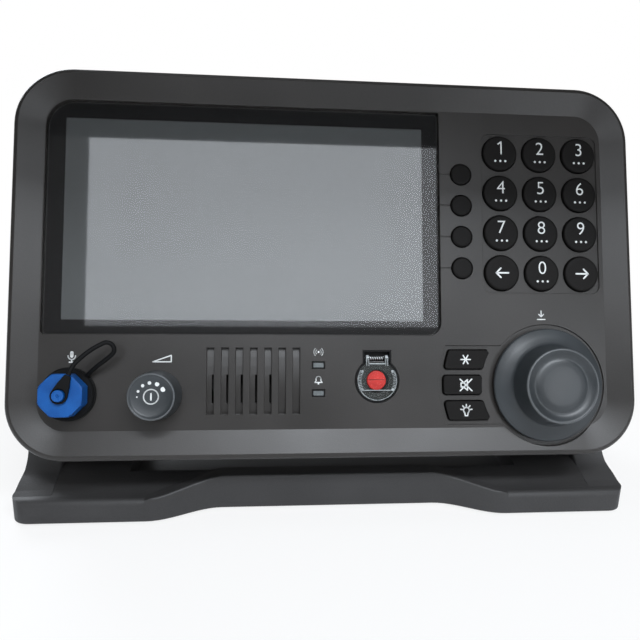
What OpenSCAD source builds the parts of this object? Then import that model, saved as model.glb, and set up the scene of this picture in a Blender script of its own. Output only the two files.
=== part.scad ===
// Control head of a marine single-sideband radio on its tilting desk base.
// World frame: +X to the viewer's right, +Y to the back, +Z up, millimetres.
// Origin: centre of the desk bolt pattern, on the underside of the base.
// Pieces of the head are drawn in the panel's own frame (u right, v up, n out of the face)
// and placed by head_place().

/* [Rear case] */
// Width of the rear case
case_w = 237; // [225:1:250]
// Height of the rear case
case_h = 130; // [124:1:142]
// Depth of the rear case behind the bezel
case_d = 50; // [44:1:60]
// Wall of the rear case
case_wall = 2.5; // [2:0.1:4]

/* [Head] */
// How far the bezel reaches past the rear case on each side
bezel_over_u = 15.5; // [15:0.5:19]
// How far the bezel reaches past the rear case above and below
bezel_over_v = 17; // [16:0.5:20]
// Corner radius of the bezel
corner_r = 24; // [19:0.5:27]
// Width of the raised rim around the flat face
rim_w = 12; // [11:0.5:13]
// How far the rim stands in front of the flat face
rim_rise = 3; // [1.5:0.5:4]
// Thickness of the front face
face_t = 4.5; // [4.2:0.1:6]
// Depth of the bezel behind the flat face
bezel_d = 16; // [15:0.5:20]
// Side wall of the bezel
wall = 3; // [2.6:0.1:3.4]

/* [Display] */
// Width of the key field, from the window's right edge to the flat face's edge
keys_w = 74.7; // [73:0.1:80]
// Height of the control strip below the window
strip_h = 39.8; // [38:0.2:43]
// Thickness of the window glass
glass_t = 2; // [1.5:0.1:2.4]
// Printed border on each side of the display
border_side = 7.3; // [6:0.1:10]
// Printed border above the display
border_top = 7; // [6:0.1:10]
// Printed border below the display
border_low = 6.3; // [5:0.1:9]

/* [Keys] */
// Diameter of a keypad key
key_d = 15.6; // [12:0.1:16]
// Column spacing of the keypad
key_dx = 18.3; // [18:0.1:19]
// Row spacing of the keypad
key_dy = 18; // [17.8:0.1:18.6]
// Diameter of a soft key
soft_d = 9.2; // [8:0.1:11]
// Spacing of the soft keys
soft_dy = 14; // [13:0.1:15]
// Height of a side key
side_h = 8.2; // [7:0.1:8.6]
// Row spacing of the side keys
side_dy = 11; // [10.8:0.1:11.4]
// How far a key stands in front of the flat face
key_proud = 0.9; // [0.5:0.1:2]
// Travel of a key
key_travel = 0.8; // [0.4:0.1:1.2]

/* [Knobs] */
// Diameter of the tuning knob's skirt
skirt_d = 49; // [44:0.5:51]
// Diameter of the tuning knob's front
tune_d = 31.2; // [28:0.2:33]
// Height of the tuning knob in front of the flat face
tune_h = 15.6; // [13:0.2:22]
// Diameter of the volume knob's front
vol_d = 18.4; // [16:0.2:22]
// Height of the volume knob in front of the flat face
vol_h = 15; // [12:0.2:20]
// Travel of a knob when it is pushed
push_travel = 0.7; // [0.4:0.1:0.8]

/* [Microphone socket] */
// Diameter of the socket's thread
mic_d = 13; // [12:0.5:13]
// Width of the cap across its flats
cap_af = 17; // [16.6:0.2:19]
// Height of the cap's front in front of the flat face
cap_h = 11.4; // [10:0.2:13]

/* [Distress button] */
// Diameter of the well
well_d = 19; // [18:0.2:20]
// Diameter of the red button
button_d = 8.4; // [7:0.2:9]
// Travel of the red button
button_travel = 1; // [0.6:0.1:1]

/* [Base] */
// Lean of the head at rest, degrees
lean = 18; // [14:1:30]
// Height of the tilt axis above the base's underside
pivot_h = 90.5; // [89:0.5:105]
// How far the base reaches past an arm
base_over = 0.6; // [0.4:0.1:2]
// Depth of the base
base_d = 116; // [110:1:130]
// Height of the toes
toe_h = 10; // [9:0.5:12]
// Height of the middle of the front wall
mid_h = 15.4; // [14:0.2:17]
// How far the middle of the front wall is set back
set_back = 10; // [8:0.5:12]
// Thickness of the base's floor
floor_t = 6; // [5:0.5:8]
// Thickness of an arm
arm_t = 15.7; // [12:0.1:17]
// Spacing of the desk bolts across the base
bolt_dx = 160; // [140:1:170]
// Spacing of the desk bolts from front to back
bolt_dy = 64; // [50:1:68]
// Radius of a desk bolt hole
bolt_r = 2.75; // [2.2:0.05:3.3]

/* [Hidden] */
$fn = 48;

// Clearances
// Around a piece that moves
run_gap = 0.3;
// Between a fixed piece and its seat
seat_gap = 0.15;
// How far a cut runs past the face that it opens
past = 1;

// Colours
shell_c = "#4c4b4a";
black_c = "#1d1c1d";
steel_c = "#b9bbbd";
board_c = "#23583a";
blue_c = "#2f6fc4";

// Face layout
bezel_w = case_w + 2 * bezel_over_u;
bezel_h = case_h + 2 * bezel_over_v;
crease_u = bezel_w / 2 - rim_w;
crease_v = bezel_h / 2 - rim_w;
inner_r = corner_r - rim_w;
// Radius of the rim's outer edge
edge_r = 2.4;
// Depth of the ledge that carries the case gasket
ledge_d = bezel_d - 4;
// Depth of the keypad's and the side keys' shallow recess
plate_d = 0.6;
// Corner radius of the keypad's recess
plate_r = 3.6;

// Window
win_inset = 0.5;
win_l = -crease_u + win_inset;
win_t = crease_v - win_inset;
win_r = crease_u - keys_w;
win_w = win_r - win_l;
win_b = -crease_v + strip_h;
// Depth of the glass below the flat face
glass_set = 0.8;
win_recess = glass_set + glass_t;
// Seen size and middle of the display
lcd_w = win_w - 2 * border_side;
lcd_h = win_t - win_b - border_top - border_low;
lcd_u = win_l + border_side + lcd_w / 2;
lcd_v = win_b + border_low + lcd_h / 2;
// Opening behind the glass, past the seen display on each side
aperture_over = 2;
// Frame of the display module past the seen display on each side
module_over_u = 5;
module_over_v = 6;
module_t = 5.5;

// Keypad
key_rows = 4;
key_cols = 3;
pad_margin = 1.9;
pad_w = (key_cols - 1) * key_dx + 17;
pad_h = (key_rows - 1) * key_dy + 17.6;
pad_u = crease_u - pad_margin - pad_w / 2;
pad_v = crease_v - 9.6 - pad_h / 2;
// Width and thickness of the flange that holds a key behind the face
key_flange = 0.8;
key_flange_t = 1;
key_back = -face_t - 2 * seat_gap - key_flange_t;
mat_front = key_back - key_travel - seat_gap;
board_front = mat_front - 2.3;
board_t = 1.6;
board_back = board_front - board_t;
// Soft keys
soft_count = 4;
soft_u = win_r + 9.7;
soft_v = pad_v - 4.1;

// Tuning knob and side keys, which lie on circles about the knob
tune_u = crease_u - 27.8;
tune_v = -crease_v + 18.4;
plinth_r = skirt_d / 2 + 2;
side_in_r = plinth_r + 3;
side_out_r = side_in_r + 17;
side_round = 1.3;
cluster_r = side_out_r + 1.8;
cluster_h = 2 * side_dy + side_h + 4;
side_mat_over = 1;

// Other controls
vol_u = -crease_u + 48.4;
vol_v = -crease_v + 14.8;
mic_u = -crease_u + 12.8;
mic_v = -crease_v + 15.2;

// Grille
slot_count = 7;
slot_du = 6.03;
slot_w = 3.1;
slot_h = 28;
grille_w = (slot_count - 1) * slot_du + slot_w;
// Depth of a slot at its ends and at the crown of its floor
slot_d = 2.2;
crown_d = 0.9;
// Slits through the floor of the first slots
slit_count = 5;
slit_w = 0.9;
slit_h = 12;
slit_drop = 3.4;

// Indicator lenses
led_w = 5.3;
led_h = 2.9;

// Places along the control strip: the free width between the volume knob's mark and the side keys is
// shared out before the grille, the lenses and the distress well
strip_l = vol_u + 10.2;
strip_r = tune_u - cluster_r;
strip_free = strip_r - strip_l - grille_w - led_w - well_d;
strip_share = [0.2135, 0.114, 0.2876];
grille_u = strip_l + strip_share[0] * strip_free + grille_w / 2;
grille_v = -crease_v + 20.4;
led_u = grille_u + grille_w / 2 + strip_share[1] * strip_free + led_w / 2;
led_v = [-crease_v + 27, -crease_v + 15.1];
well_u = led_u + led_w / 2 + strip_share[2] * strip_free + well_d / 2;
well_v = -crease_v + 20.4;

// Knob parts
bush_r = 4.5;
shaft_r = 3;
bush_front = 2.5;
knob_float = push_travel + 0.3;
encoder_w = 14;
encoder_d = 7;
plunger_t = 1.6;
shaft_back = -face_t - encoder_d + 2;
knob_hub_r = 7;

// Distress cover
notch_w = 12;
notch_top = 12.8;
well_wall = 0.5;
well_floor = 4;
hinge_v = well_v + 9.6;
hinge_n = -1;
cover_r = well_d / 2 - well_wall - run_gap;
pin_r = 0.5;
ear_in = 3.5;
ear_out = 4.75;

// Cap and strap
cap_back = 3.8;
strap_ring_t = 1.8;
flange_t = 1.5;
flange_r = 11;
barrel_top = cap_h - 4;
cap_pin_r = 2.3;
cap_pin_h = 3;
strap_d = 1.8;
strap_sides = 8;
// Route of the strap from the cap's middle and the flat face, from the eye's tail round the loop to the ring
strap_route = [
    for (p = [
        [3.4, 8.2, 12.4], [4.2, 10.1, 12.3], [5.4, 12.4, 11.8], [8.2, 15.4, 11.0], [11.5, 18.2, 10.2],
        [15.1, 20.4, 9.4], [17.1, 21.0, 9.0], [19.0, 20.0, 8.6], [19.7, 18.0, 8.2], [18.7, 16.2, 7.7],
        [15.7, 13.8, 6.6], [12.5, 11.6, 5.2], [9.8, 9.4, 3.9], [7.4, 7.4, 2.5]
    ]) [mic_u + p[0], mic_v + p[1], p[2]]
];

// Cover spring
spring_wire = 0.5;
spring_r = 1.45;
spring_turns = 6;
spring_pitch = 0.98;
spring_sides = 6;
spring_rings = 8;

// Rear case and fixings
flange_n = -bezel_d + 3;
case_top = case_h / 2 - 1;
case_bottom = case_top - case_h;
case_back = -bezel_d - case_d;
case_r = 8;
screw_r = 1.45;
screw_hole_r = 1.6;
screw_head_r = 2.8;
screw_head_t = 1.8;
case_screw_l = 9;
board_screw_l = 5;
standoff_screw_l = 7;
boss_r = 3.6;
// How far the side screws stand out from the case, and where the others stand
screw_out = 6.3;
screw_du = 52;
case_screw_at = [
    for (su = [-1, 1], sv = [-1, 1]) [su * (case_w / 2 + screw_out), sv * (case_h / 2 - 3)],
    for (su = [-1, 1], sv = [-1, 1]) [su * screw_du, sv * (bezel_h / 2 - 9.2)]
];
lug_at = [
    for (u = [win_l + 26.4, win_r - 7.4], s = [-1, 1])
        [u, lcd_v + s * (lcd_h / 2 + module_over_v + 3.6)]
];
board_screw_at = [
    [win_r + 10, pad_v + 32], [win_r + 10, pad_v - 38.5], [crease_u - 6, pad_v - 42],
    [well_u + 0.775 * (strip_r - well_u), -crease_v + 6], [led_u - 3, -crease_v + 6]
];

// Tilt axis in the panel's frame
pivot_depth = 40;
pivot_drop = 6;
stud_r = 3;
washer_t = 1.5;
washer_r = 14;
arm_in = case_w / 2 + washer_t + 2 * seat_gap;
arm_out = arm_in + arm_t;
clamp_r = 15;
clamp_t = 10;

// Base layout
base_w = 2 * (arm_out + base_over);
base_f = -base_d / 2;
toe_round = 2.6;
// Inner end of the shoulders that carry the arms
shoulder_in = bolt_dx / 2 + 10;
// Rise of a shoulder behind its toe, from front to back
ramp = [for (p = [[5, 0], [8.5, 0.9], [12.5, 2.4], [17, 3.6]]) [base_f + p[0], toe_h + p[1]]];
mid_half = 48;
toe_half = 80;
curve_steps = 12;
plan_r = 8;
lip_t = 8;
rear_lip = 8;
pad_r = 8;
pad_t = 2;
pad_sink = 1;
arm_screw_r = 2;
arm_screw_dy = 56;
eye_r = 19;

// Placing and shape helpers

// Puts a piece of the head, drawn in the panel's frame, on the base.
module head_place() {
    translate([0, 0, pivot_h])
        rotate([90 - lean, 0, 0])
            translate([0, pivot_drop, pivot_depth])
                children();
}

// Extrudes a flat outline between two heights of the panel's frame.
module slab(n0, n1) {
    translate([0, 0, n0])
        linear_extrude(n1 - n0)
            children();
}

module rod(u, v, n0, n1, r) {
    translate([u, v, n0])
        cylinder(h = n1 - n0, r = r);
}

module tube(u, v, n0, n1, r, hole) {
    difference() {
        rod(u, v, n0, n1, r);
        rod(u, v, n0 - past, n1 + past, hole);
    }
}

module box_at(u, v, n0, n1, w, h) {
    translate([u - w / 2, v - h / 2, n0])
        cube([w, h, n1 - n0]);
}

module rounded(w, h, r) {
    square([w - 2 * r, h], center = true);
    square([w, h - 2 * r], center = true);
    for (su = [-1, 1], sv = [-1, 1])
        translate([su * (w / 2 - r), sv * (h / 2 - r)])
            circle(r);
}

function arc(c, r, a0, a1, steps = 8) =
    [for (i = [0 : steps]) let (a = a0 + (a1 - a0) * i / steps) c + r * [cos(a), sin(a)]];

// Outline of the window: wide radius where it nests in the bezel's corner, small ones elsewhere.
function window_points(inset) =
    let (
        l = win_l + inset, r = win_r - inset, t = win_t - inset, b = win_b + inset,
        tl = inner_r - win_inset - inset, tr = 1.2 - inset, br = 5.5 - inset, bl = 1.4 - inset
    )
    concat(
        arc([l + tl, t - tl], tl, 180, 90),
        arc([r - tr, t - tr], tr, 90, 0, 3),
        arc([r - br, b + br], br, 0, -90),
        arc([l + bl, b + bl], bl, -90, -180, 3)
    );

// A side key's outline: a band of a ring about the knob, with rounded corners.
module side_outline(row, grow) {
    mid = row * side_dy;
    half = side_h / 2 + grow;
    rin = side_in_r - grow;
    rout = side_out_r + grow;
    round_r = side_round + grow;
    translate([tune_u, tune_v]) {
        ring_band(rin + round_r, rout - round_r, mid - half, mid + half);
        ring_band(rin, rout, mid - half + round_r, mid + half - round_r);
        for (r = [rin + round_r, rout - round_r], v = [mid - half + round_r, mid + half - round_r])
            translate([-sqrt(r * r - v * v), v])
                circle(round_r);
    }
}

// The part of a ring, left of its centre, between two heights.
module ring_band(r0, r1, v0, v1) {
    intersection() {
        difference() {
            circle(r1, $fn = 96);
            circle(r0, $fn = 96);
        }
        translate([-r1 - past, v0])
            square([r1 + past, v1 - v0]);
    }
}

// The shallow plate behind the side keys, joined to the plinth of the tuning knob.
module cluster_outline() {
    translate([tune_u, tune_v]) {
        intersection() {
            circle(cluster_r, $fn = 96);
            translate([-cluster_r - past, -cluster_h / 2])
                square([cluster_r + past, cluster_h]);
        }
        circle(plinth_r, $fn = 96);
    }
}

// The distress well's keyhole outline.
module keyhole(grow) {
    translate([well_u, well_v]) {
        circle(well_d / 2 + grow);
        translate([-notch_w / 2 - grow, 0])
            square([notch_w + 2 * grow, notch_top + grow]);
    }
}

// Sweeping a round tube along a list of points.
function unit(a) = a / norm(a);

function tangent(path, i) =
    unit(path[min(i + 1, len(path) - 1)] - path[max(i - 1, 0)]);

function tube_points(path, r, sides, ref) =
    [
        for (i = [0 : len(path) - 1])
            let (t = tangent(path, i), a = unit(cross(t, ref)), b = cross(t, a))
                for (k = [0 : sides - 1])
                    path[i] + r * (cos(360 * k / sides) * a + sin(360 * k / sides) * b)
    ];

function tube_faces(rings, sides) =
    concat(
        [for (k = [1 : sides - 2]) [0, k, k + 1]],
        [for (i = [0 : rings - 2], k = [0 : sides - 1])
            [i * sides + k, (i + 1) * sides + k, (i + 1) * sides + (k + 1) % sides]],
        [for (i = [0 : rings - 2], k = [0 : sides - 1])
            [i * sides + k, (i + 1) * sides + (k + 1) % sides, i * sides + (k + 1) % sides]],
        [for (k = [1 : sides - 2]) (rings - 1) * sides * [1, 1, 1] + [0, k + 1, k]]
    );

module swept(path, d, sides, ref) {
    polyhedron(tube_points(path, d / 2, sides, ref), tube_faces(len(path), sides));
}

// The raised rim with the bezel's side wall: its section runs s outward from the crease.
function rim_points() =
    concat(
        [[-1, -face_t], [-1, 0], [0, 0]],
        arc([rim_w - edge_r, rim_rise - edge_r], edge_r, 90, 0, 9),
        [
            [rim_w, -bezel_d], [rim_w - wall, -bezel_d], [rim_w - wall, -ledge_d],
            [rim_w - 2 * wall, -ledge_d], [rim_w - 2 * wall, -face_t]
        ]
    );

module rim_run(length, reach) {
    translate([reach, length / 2, 0])
        rotate([90, 0, 0])
            linear_extrude(length)
                polygon(rim_points());
}

module rim() {
    run_u = bezel_w - 2 * corner_r;
    run_v = bezel_h - 2 * corner_r;
    for (turn = [0, 180])
        rotate([0, 0, turn])
            rim_run(run_v, crease_u);
    for (turn = [90, 270])
        rotate([0, 0, turn])
            rim_run(run_u, crease_v);
    corners = [[1, 1, 0], [-1, 1, 90], [-1, -1, 180], [1, -1, 270]];
    for (c = corners)
        translate([c[0] * run_u / 2, c[1] * run_v / 2, 0])
            rotate([0, 0, c[2]])
                rotate_extrude(angle = 90)
                    translate([inner_r, 0])
                        polygon(rim_points());
}

// Front bezel

module bezel_bosses() {
    for (p = case_screw_at)
        rod(p[0], p[1], flange_n, -face_t + past, boss_r);
    for (p = lug_at)
        rod(p[0], p[1], lug_back, -face_t + past, boss_r);
    for (p = board_screw_at)
        rod(p[0], p[1], board_front, -face_t + past, boss_r);
}

lug_back = -face_t - module_t + 1;

module bezel_cuts() {
    slab(-win_recess, past)
        polygon(window_points(0));
    box_at(lcd_u, lcd_v, -face_t - past, 0, lcd_w + 2 * aperture_over, lcd_h + 2 * aperture_over);
    slab(-plate_d, past)
        translate([pad_u, pad_v])
            rounded(pad_w, pad_h, plate_r);
    slab(-plate_d, past)
        cluster_outline();
    rod(tune_u, tune_v, -plate_d, rim_rise + past, plinth_r);
    for (i = [0 : 11])
        rod(key_u(i), key_v(i), -face_t - past, past, key_d / 2 + run_gap);
    for (i = [0 : soft_count - 1]) {
        rod(soft_u, soft_row(i), -face_t - past, past, soft_d / 2 + run_gap);
        box_at((win_r + soft_u) / 2 - soft_d / 4, soft_row(i), -0.3, past, soft_u - win_r - soft_d / 2, 0.5);
    }
    for (row = [-1 : 1])
        slab(-face_t - past, past)
            side_outline(row, run_gap);
    rod(tune_u, tune_v, -face_t - past, past, bush_r + seat_gap);
    rod(vol_u, vol_v, -face_t - past, past, bush_r + seat_gap);
    rod(mic_u, mic_v, -face_t - past, past, mic_d / 2 + seat_gap);
    for (v = led_v)
        box_at(led_u, v, -face_t - past, past, led_w + 2 * seat_gap, led_h + 2 * seat_gap);
    slab(-face_t - past, past)
        keyhole(seat_gap);
    for (i = [0 : slot_count - 1]) {
        slot_u = grille_u + (i - (slot_count - 1) / 2) * slot_du;
        slot_cut(slot_u);
        if (i < slit_count)
            box_at(slot_u + (slot_w - slit_w) / 2, grille_v - slit_drop, -face_t - past, 0, slit_w, slit_h);
    }
    for (p = concat(case_screw_at, lug_at, board_screw_at))
        rod(p[0], p[1], -bezel_d - past, -face_t - 0.5, screw_hole_r);
}

// A slot of the grille: its floor bulges towards the front along the slot.
module slot_cut(u) {
    bulge = slot_d - crown_d;
    floor_r = (slot_h * slot_h / 4 + bulge * bulge) / (2 * bulge);
    difference() {
        box_at(u, grille_v, -slot_d, past, slot_w, slot_h);
        translate([u - slot_w, grille_v, -crown_d - floor_r])
            rotate([0, 90, 0])
                cylinder(h = 2 * slot_w, r = floor_r, $fn = 360);
    }
}

module front_bezel() {
    color(shell_c)
        head_place()
            difference() {
                union() {
                    rim();
                    slab(-face_t, 0)
                        rounded(2 * crease_u, 2 * crease_v, inner_r);
                    bezel_bosses();
                }
                bezel_cuts();
            }
}

// Rear case and what closes it

module case_outline(inset) {
    translate([0, case_top - case_h / 2])
        rounded(case_w - 2 * inset, case_h - 2 * inset, case_r - inset);
}

rib_count = 15;
rib_du = 13;
rib_t = 3;
standoff_h = 10;
standoff_at = [for (su = [-1, 1], sv = [-1, 1]) [su * (case_w / 2 - 14), sv * (case_h / 2 - 13)]];
link_u = -62;
link_v = case_bottom + 26;
link_r = 10;
earth_u = 62;
earth_v = case_bottom + 22;
earth_r = 2.5;

module rear_case() {
    inner_back = case_back + case_wall;
    color(shell_c)
        head_place()
            difference() {
                union() {
                    slab(-bezel_d, flange_n)
                        rounded(bezel_w - 2 * wall - 2 * seat_gap, bezel_h - 2 * wall - 2 * seat_gap,
                                corner_r - wall - seat_gap);
                    difference() {
                        slab(case_back, flange_n)
                            case_outline(0);
                        slab(inner_back, flange_n + past)
                            case_outline(case_wall);
                    }
                    for (i = [0 : rib_count - 1])
                        box_at((i - (rib_count - 1) / 2) * rib_du, case_top - 36, case_back - rib_t,
                               case_back + case_wall / 2, rib_t, 54);
                    for (p = standoff_at)
                        rod(p[0], p[1], case_back + case_wall / 2, inner_back + standoff_h, boss_r);
                    for (s = [-1, 1])
                        side_boss(s);
                    rod(earth_u, earth_v, case_back - 3, case_back + case_wall, 6);
                }
                slab(-bezel_d - past, flange_n + past)
                    case_outline(case_wall);
                for (p = case_screw_at)
                    rod(p[0], p[1], -bezel_d - past, flange_n + past, screw_hole_r);
                for (p = standoff_at)
                    rod(p[0], p[1], inner_back + 1, inner_back + standoff_h + past, screw_hole_r);
                for (s = [-1, 1])
                    axis_rod(s * (case_w / 2 - 14), s * (case_w / 2 + past), stud_r + run_gap);
                rod(link_u, link_v, case_back - rib_t - past, inner_back + past, link_r + seat_gap);
                rod(earth_u, earth_v, case_back - 3 - past, case_back - 2, earth_r + 0.05);
            }
}

// A boss on the inside of a case wall for the clamp stud.
module side_boss(s) {
    axis_rod(s * (case_w / 2 - 12), s * (case_w / 2 - case_wall / 2), 8);
}

// A rod on the tilt axis between two places along u.
module axis_rod(u0, u1, r) {
    translate([min(u0, u1), -pivot_drop, -pivot_depth])
        rotate([0, 90, 0])
            cylinder(h = abs(u1 - u0), r = r);
}

module case_gasket() {
    gap = 2 * wall;
    color(black_c)
        head_place()
            difference() {
                slab(flange_n, -ledge_d)
                    difference() {
                        rounded(bezel_w - 2 * wall - 1, bezel_h - 2 * wall - 1, corner_r - wall - 0.5);
                        rounded(bezel_w - 2 * gap + 0.4, bezel_h - 2 * gap + 0.4, corner_r - gap + 0.2);
                    }
                for (p = case_screw_at)
                    rod(p[0], p[1], flange_n - past, -ledge_d + past, boss_r + seat_gap);
            }
}

// A pan-head screw whose head sits on a face at n and whose shank runs into the set or out of it.
module screw(p, n, length) {
    rod(p[0], p[1], n - screw_head_t, n, screw_head_r);
    rod(p[0], p[1], n - 0.01, n + length, screw_r);
}

module case_screws() {
    color(steel_c)
        head_place() {
            for (p = case_screw_at)
                screw(p, -bezel_d, case_screw_l);
            for (p = lug_at)
                screw(p, lug_back - 1, board_screw_l);
            for (p = board_screw_at)
                screw(p, board_back, board_screw_l);
            for (p = standoff_at)
                mirrored_screw(p, case_back + case_wall + standoff_h + board_t, standoff_screw_l);
        }
}

// A screw driven from inside the set towards its back.
module mirrored_screw(p, n, length) {
    rod(p[0], p[1], n, n + screw_head_t, screw_head_r);
    rod(p[0], p[1], n - length, n + 0.01, screw_r);
}

// Display

module window_glass() {
    color([0.1, 0.1, 0.11, 0.6])
        head_place()
            slab(-glass_set - glass_t, -glass_set)
                polygon(window_points(seat_gap));
}

module display_module() {
    w = lcd_w + 2 * module_over_u;
    h = lcd_h + 2 * module_over_v;
    back = -face_t - module_t;
    color(steel_c)
        head_place()
            difference() {
                union() {
                    box_at(lcd_u, lcd_v, back, -face_t, w, h);
                    box_at(lcd_u, lcd_v, -face_t - 1, -win_recess - seat_gap,
                        lcd_w + 2 * aperture_over - 0.6,
                           lcd_h + 2 * aperture_over - 0.6);
                    for (p = lug_at) {
                        rod(p[0], p[1], lug_back - 1, lug_back, boss_r);
                        box_at(p[0], (p[1] + lcd_v) / 2, lug_back - 1, lug_back,
                            2 * boss_r, abs(p[1] - lcd_v));
                    }
                }
                for (p = lug_at)
                    rod(p[0], p[1], back - past, -face_t, screw_hole_r);
            }
}

// Boards and mat

module key_mat() {
    color("#3a3a3c")
        head_place() {
            slab(board_front, mat_front) {
                translate([pad_u, pad_v])
                    square([pad_w - 1, pad_h - 1], center = true);
                translate([soft_u, soft_v])
                    square([soft_d + 3, (soft_count - 1) * soft_dy + soft_d + 3], center = true);
                translate([tune_u, tune_v])
                    ring_band(side_in_r - side_mat_over, side_out_r + side_mat_over,
                              1 - cluster_h / 2, cluster_h / 2 - 1);
            }
        }
}

module key_board() {
    right = crease_u - 1.5;
    low = -crease_v + 2;
    left = led_u - 7;
    corner = soft_u - soft_d / 2 - 2;
    strip = win_b - 6.4;
    color(board_c)
        head_place()
            difference() {
                slab(board_back, board_front)
                    polygon([
                        [left, low], [right, low], [right, crease_v - 6], [corner, crease_v - 6],
                        [corner, strip], [left, strip]
                    ]);
                box_at(tune_u, tune_v, board_back - past, board_front + past, encoder_w + 1, encoder_w + 1);
                for (p = board_screw_at)
                    rod(p[0], p[1], board_back - past, board_front + past, screw_hole_r);
                for (p = lug_at)
                    rod(p[0], p[1], board_back - past, board_front + past, boss_r + 1);
            }
}

module main_board() {
    front = case_back + case_wall + standoff_h + board_t;
    parts = [
        [-70, 20, 34, 26, 6], [-20, 25, 24, 24, 3], [35, 18, 40, 18, 9], [72, -20, 22, 30, 12],
        [-20, -28, 50, 14, 8]
    ];
    color(board_c)
        head_place()
            difference() {
                union() {
                    box_at(0, case_top - case_h / 2, front - board_t, front, case_w - 14, case_h - 14);
                    for (p = parts)
                        box_at(p[0], p[1], front - board_t / 2, front + p[4], p[2], p[3]);
                }
                for (p = standoff_at)
                    rod(p[0], p[1], front - board_t - past, front + past, screw_hole_r);
            }
}

// Keys

function key_u(i) = pad_u + (i % key_cols - 1) * key_dx;
function key_v(i) = pad_v + (1.5 - floor(i / key_cols)) * key_dy;
function soft_row(i) = soft_v + (1.5 - i) * soft_dy;

module round_key(u, v, d) {
    r = d / 2;
    flange_top = key_back + key_flange_t;
    round_over = 0.6;
    color(black_c)
        head_place()
            translate([u, v, 0])
                rotate_extrude()
                    polygon(concat(
                        [[0, key_back], [r + key_flange, key_back]],
                        [[r + key_flange, flange_top], [r, flange_top]],
                        arc([r - round_over, key_proud - round_over], round_over, 0, 90, 4),
                        [[0, key_proud]]
                    ));
}

module side_key(row) {
    flange_top = key_back + key_flange_t;
    color(black_c)
        head_place() {
            slab(flange_top - 0.5, key_proud)
                side_outline(row, 0);
            slab(key_back, flange_top)
                side_outline(row, key_flange);
        }
}

// Knobs and what turns in the set

module bush_control(u, v) {
    color(steel_c)
        head_place()
            difference() {
                union() {
                    box_at(u, v, -face_t - encoder_d, -face_t, encoder_w, encoder_w);
                    rod(u, v, -face_t - past, bush_front, bush_r);
                }
                rod(u, v, -face_t - encoder_d - past, bush_front + past, shaft_r + run_gap);
            }
}

module plunger(u, v) {
    color(black_c)
        head_place()
            rod(u, v, shaft_back - plunger_t - seat_gap, shaft_back - seat_gap, shaft_r - 0.4);
}

module control_shaft(u, v, front) {
    color(steel_c)
        head_place()
            rod(u, v, shaft_back, front, shaft_r);
}

tune_socket = tune_h - 4;
vol_socket = vol_h - 3;

module tuning_knob() {
    front_r = tune_d / 2;
    skirt_r = skirt_d / 2;
    dish_r = front_r * 0.73;
    color(shell_c)
        head_place()
            translate([tune_u, tune_v, 0])
                rotate_extrude($fn = 96)
                    polygon(concat(
                        [[shaft_r + 0.05, 4.5], [knob_hub_r, 4.5], [knob_hub_r, knob_float]],
                        [[skirt_r - 0.3, knob_float], [skirt_r, knob_float + 0.4]],
                        [[skirt_r, 2.1], [skirt_r - 0.6, 2.6], [front_r + 2.2, 5.4], [front_r + 1.6, 6.1]],
                        arc([front_r - 0.5, tune_h - 0.5], 0.5, 0, 180, 6),
                        [[dish_r + 0.8, tune_h - 1.5], [dish_r, tune_h - 1.7], [dish_r - 1, tune_h - 1.4]],
                        [[dish_r * 0.5, tune_h - 1.15], [0, tune_h - 1.1]],
                        [[0, tune_socket], [shaft_r + 0.05, tune_socket]]
                    ));
}

module volume_knob() {
    front_r = vol_d / 2;
    color(shell_c)
        head_place()
            translate([vol_u, vol_v, 0])
                rotate_extrude($fn = 96)
                    polygon(concat(
                        [[shaft_r + 0.05, 4.5], [knob_hub_r, 4.5], [knob_hub_r, knob_float]],
                        [[front_r + 0.9, knob_float], [front_r + 1, knob_float + 0.4]],
                        [[front_r + 0.2, vol_h - 1.2]],
                        arc([front_r - 0.45, vol_h - 0.45], 0.45, 0, 180, 6),
                        [[front_r - 1.6, vol_h - 0.7], [0, vol_h - 0.8]],
                        [[0, vol_socket], [shaft_r + 0.05, vol_socket]]
                    ));
}

// Microphone socket, cap and strap

module mic_socket() {
    color(black_c)
        head_place()
            difference() {
                union() {
                    rod(mic_u, mic_v, 0, flange_t, flange_r);
                    rod(mic_u, mic_v, -face_t - 7, barrel_top, mic_d / 2);
                }
                rod(mic_u, mic_v, barrel_top - 2, barrel_top + past, mic_d / 2 - 1.5);
            }
}

module mic_nut() {
    color(steel_c)
        head_place()
            difference() {
                translate([mic_u, mic_v, -face_t - 3.5])
                    cylinder(h = 3.5, r = 9, $fn = 6);
                rod(mic_u, mic_v, -face_t - 5, 0, mic_d / 2 + 0.05);
            }
}

// The moulded rubber strap: its ring lies on the socket's flange, and its loop runs to the eye.
module cap_strap() {
    color(black_c)
        head_place() {
            tube(mic_u, mic_v, flange_t, flange_t + strap_ring_t, flange_r - 0.3, mic_d / 2 + seat_gap);
            swept(strap_route, strap_d, strap_sides, [0, 0, 1]);
        }
}

eye_n = cap_h + seat_gap;
eye_t = 1.5;
eye_out = 3.3;
eye_turn = 67.5;
// Length of the eye's tail, and its half width in the middle and at its end
eye_reach = 8.5;
eye_waist = 2.5;
eye_tip = 1.2;

module strap_eye() {
    color(black_c)
        head_place()
            translate([mic_u, mic_v, 0])
                rotate([0, 0, eye_turn])
                    difference() {
                        union() {
                            rod(0, 0, eye_n, eye_n + eye_t, eye_out);
                            slab(eye_n, eye_n + eye_t)
                                polygon([
                                    [0.6, eye_out - 0.06], [eye_reach / 2, eye_waist], [eye_reach, eye_tip],
                                    [eye_reach, -eye_tip], [eye_reach / 2, -eye_waist], [0.6, 0.06 - eye_out]
                                ]);
                        }
                        rod(0, 0, eye_n - past, eye_n + eye_t + past, cap_pin_r + run_gap);
                    }
}

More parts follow.
